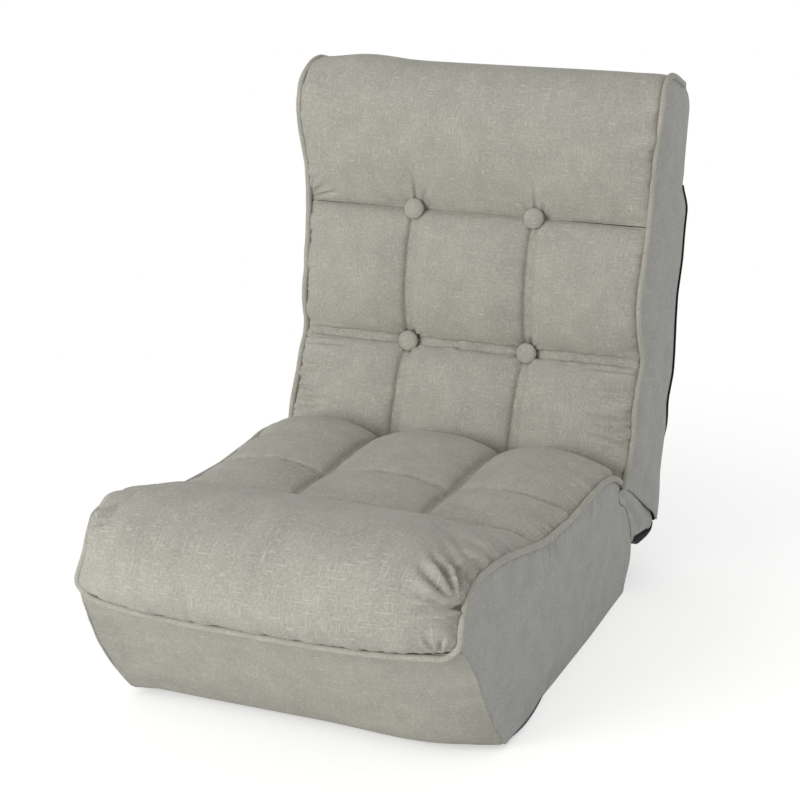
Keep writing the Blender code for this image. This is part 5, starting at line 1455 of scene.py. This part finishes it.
line = smooth_run(BACK_RING_FRONT + BACK_RING_TOP[1:-1], 0.006)[0]
beside = line + facing(line, (-1.0, 0.0)) * CORD_RAISED
y, z = in_room(beside[:, 0], beside[:, 1])
for side, word in ((-1, "left"), (1, "right")):
    x = PANEL_X - CORD_IN + rear_out(line[:, 0], line[:, 1]) + side_out(line[:, 1], side)
    x = x - CORD_TURNED * smoothstep(line[:, 0], 0.045, 0.080)
    path = smooth_run(np.stack([side * x, y, z], axis=1)[::2], 0.004)[0]
    back_piping = cord_along(f"back_cord_{word}", path, covered_cord, piping_cloth)
    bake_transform(back_piping)
    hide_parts(f"back_piping_{word}", f"head_piping_{word}")


# Fold
# Loose cloth that lets the back turn: a gusset at each side, a strip in the crease
# between the cushions and black lining underneath. All are sewn to the seat along one
# edge and to the back along the other.
GUSSET_RING = ((-0.092, 0.062), (-0.0543, 0.0523), (-0.0098, 0.0360), (0.0439, 0.01375),
               (0.0933, -0.00825), (0.101, -0.0165))
GUSSET_UNDER = ((0.101, -0.0165), (0.094, -0.0240), (0.060, -0.0245), (0.020, -0.0250),
                (-0.0119, -0.0250))   # both in the back's frame
GUSSET_SEAT_LINE = ((0.055, 0.078), (0.042, 0.115), (0.013, 0.152), (-0.021, 0.173),
                    (-0.0245, 0.187))
GUSSET_STEP = 0.0045
GUSSET_IN = 0.0018            # how far it lies in from the side panels
GUSSET_FOLD, GUSSET_FOLD_AT, GUSSET_FOLD_WIDE = 0.004, 0.272, 0.006   # its one deep fold
GUSSET_CLOTH, CREASE_CLOTH = 0.0018, 0.0016   # thicknesses
CREASE_HALF, FOLD_LINING_HALF = 0.2715, 0.2755
CREASE_SEAT_LINE = ((-0.026, 0.186), (-0.014, 0.178))
CREASE_FOOT = (-0.086, 0.066)   # in the back's frame
LINING_SAG = ((0.055, 0.080), (0.073, 0.071), (0.115, 0.064), (0.153, 0.0625))
LINING_FOOT = ((0.095, -0.0300), (0.101, -0.0165))   # in the back's frame
# Which way the loose cloth turns from seat to back.
FOLD_NORMAL = (0.657, 0.756)

seam, under = (np.array([in_room(*q) for q in smooth_run(points, GUSSET_STEP)[0]])
               for points in (GUSSET_RING, GUSSET_UNDER))
seat_edge = smooth_run([(y + FOLD_Y, z) for y, z in GUSSET_SEAT_LINE], GUSSET_STEP)[0]
gusset_ring = np.vstack([seam[:-1], under[:-1], seat_edge])
for side, word in ((-1, "left"), (1, "right")):
    piece, points, deep = panel(f"gusset_{word}", gusset_ring, GUSSET_STEP)
    fold = hump(points @ np.array(FOLD_NORMAL), GUSSET_FOLD_AT, GUSSET_FOLD_WIDE)
    x = PANEL_X - GUSSET_IN + 0.001 * smoothstep(deep, 0.0, 0.02)
    x = x - GUSSET_FOLD * fold * smoothstep(deep, 0, 0.01)
    put_points(piece, np.stack([side * x, points[:, 0], points[:, 1]], axis=1))
    face_towards(piece, (side, 0, 0))
    swell(piece, (deep < 0.001).astype(float), np.full(len(deep), 0.8),
          pressure=0.3, cap=0.005, ease=0.10, bending=0.8)
    lined(piece, GUSSET_CLOTH)
    piece.data.materials.append(linen_side)
    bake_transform(piece)
    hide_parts(f"hinge_gusset_{word}")

across = np.linspace(-1.0, 1.0, 65)
crease_line = smooth_run([(FOLD_Y + y, z) for y, z in CREASE_SEAT_LINE]
                         + [in_room(*CREASE_FOOT)], 0.0025)[0]
x = np.repeat((CREASE_HALF * across)[None, :], len(crease_line), axis=0)
crease = grid_panel("crease_strip", crosswise(x, crease_line), run_length(crease_line))
face_towards(crease, (0, -0.3, 1))
lined(crease, CREASE_CLOTH)
crease.data.materials.append(linen)
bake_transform(crease)
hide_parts("crease_panel")

under_line = smooth_run([(FOLD_Y + y, z) for y, z in LINING_SAG]
                        + [in_room(*q) for q in LINING_FOOT], 0.005)[0]
x = np.repeat((FOLD_LINING_HALF * across)[None, :], len(under_line), axis=0)
rows = crosswise(x, under_line)
fold_under = grid_panel("fold_lining", rows, run_length(under_line))
face_towards(fold_under, (0, 0, -1))
lined(fold_under, LINING_CLOTH)
fold_under.data.materials.append(black)
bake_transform(fold_under)
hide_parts("underside_cover")


# Frame and hinges
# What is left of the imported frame: painted steel tube, zinc-plated hinge plates, pins and
# pawls, and woven slings. All of it lies inside the covers.
STEEL_PAINT = (0.030, 0.031, 0.034)
ZINC = (0.62, 0.62, 0.60)
SLING = (0.055, 0.052, 0.050)


def worn_metal(name, colour, worn, metallic, rough, scale):
    """Metal or paint on metal with fine brushing and rubbed patches."""
    made, tree, shader = bare_finish(name, {"Metallic": metallic})
    place = wired(tree, "ShaderNodeTexCoord")
    patches = wired(tree, "ShaderNodeTexNoise", {"Scale": scale, "Detail": 5.0,
                                                 "Vector": place.outputs["Object"]}).outputs[0]
    vary_colour(tree, shader, patches, colour, worn)
    vary_roughness(tree, shader, patches, *rough)
    add_relief(tree, shader, patches, strength=0.15, deep=0.0004)
    return made


def woven_straps(name, colour):
    """Flat woven sling, ribbed across."""
    made, tree, shader = bare_finish(name, {"Roughness": 0.8})
    place = wired(tree, "ShaderNodeTexCoord")
    ribs = wired(tree, "ShaderNodeTexWave", {"Scale": 160.0, "Distortion": 0.6,
                                             "Vector": place.outputs["Object"]}).outputs["Fac"]
    vary_colour(tree, shader, ribs, [c * 0.5 for c in colour], colour)
    add_relief(tree, shader, ribs, strength=1.0, deep=0.0006)
    return made


looks = {
    "painted_steel": worn_metal("black_paint", STEEL_PAINT, [c * 2.2 for c in STEEL_PAINT],
                                0.0, (0.35, 0.6), 60.0),
    "zinc_steel": worn_metal("zinc_plate", ZINC, [c * 0.8 for c in ZINC],
                             1.0, (0.28, 0.5), 90.0),
    "woven_sling": woven_straps("sling_webbing", SLING),
    "foam": foam,
    "linen": linen,
    "linen_side": linen_side,
    "piping": piping_cloth,
    "black_cloth": black,
}
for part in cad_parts.values():
    for k, old in enumerate(part.data.materials):
        if old is not None and old.name in looks:
            part.data.materials[k] = looks[old.name]
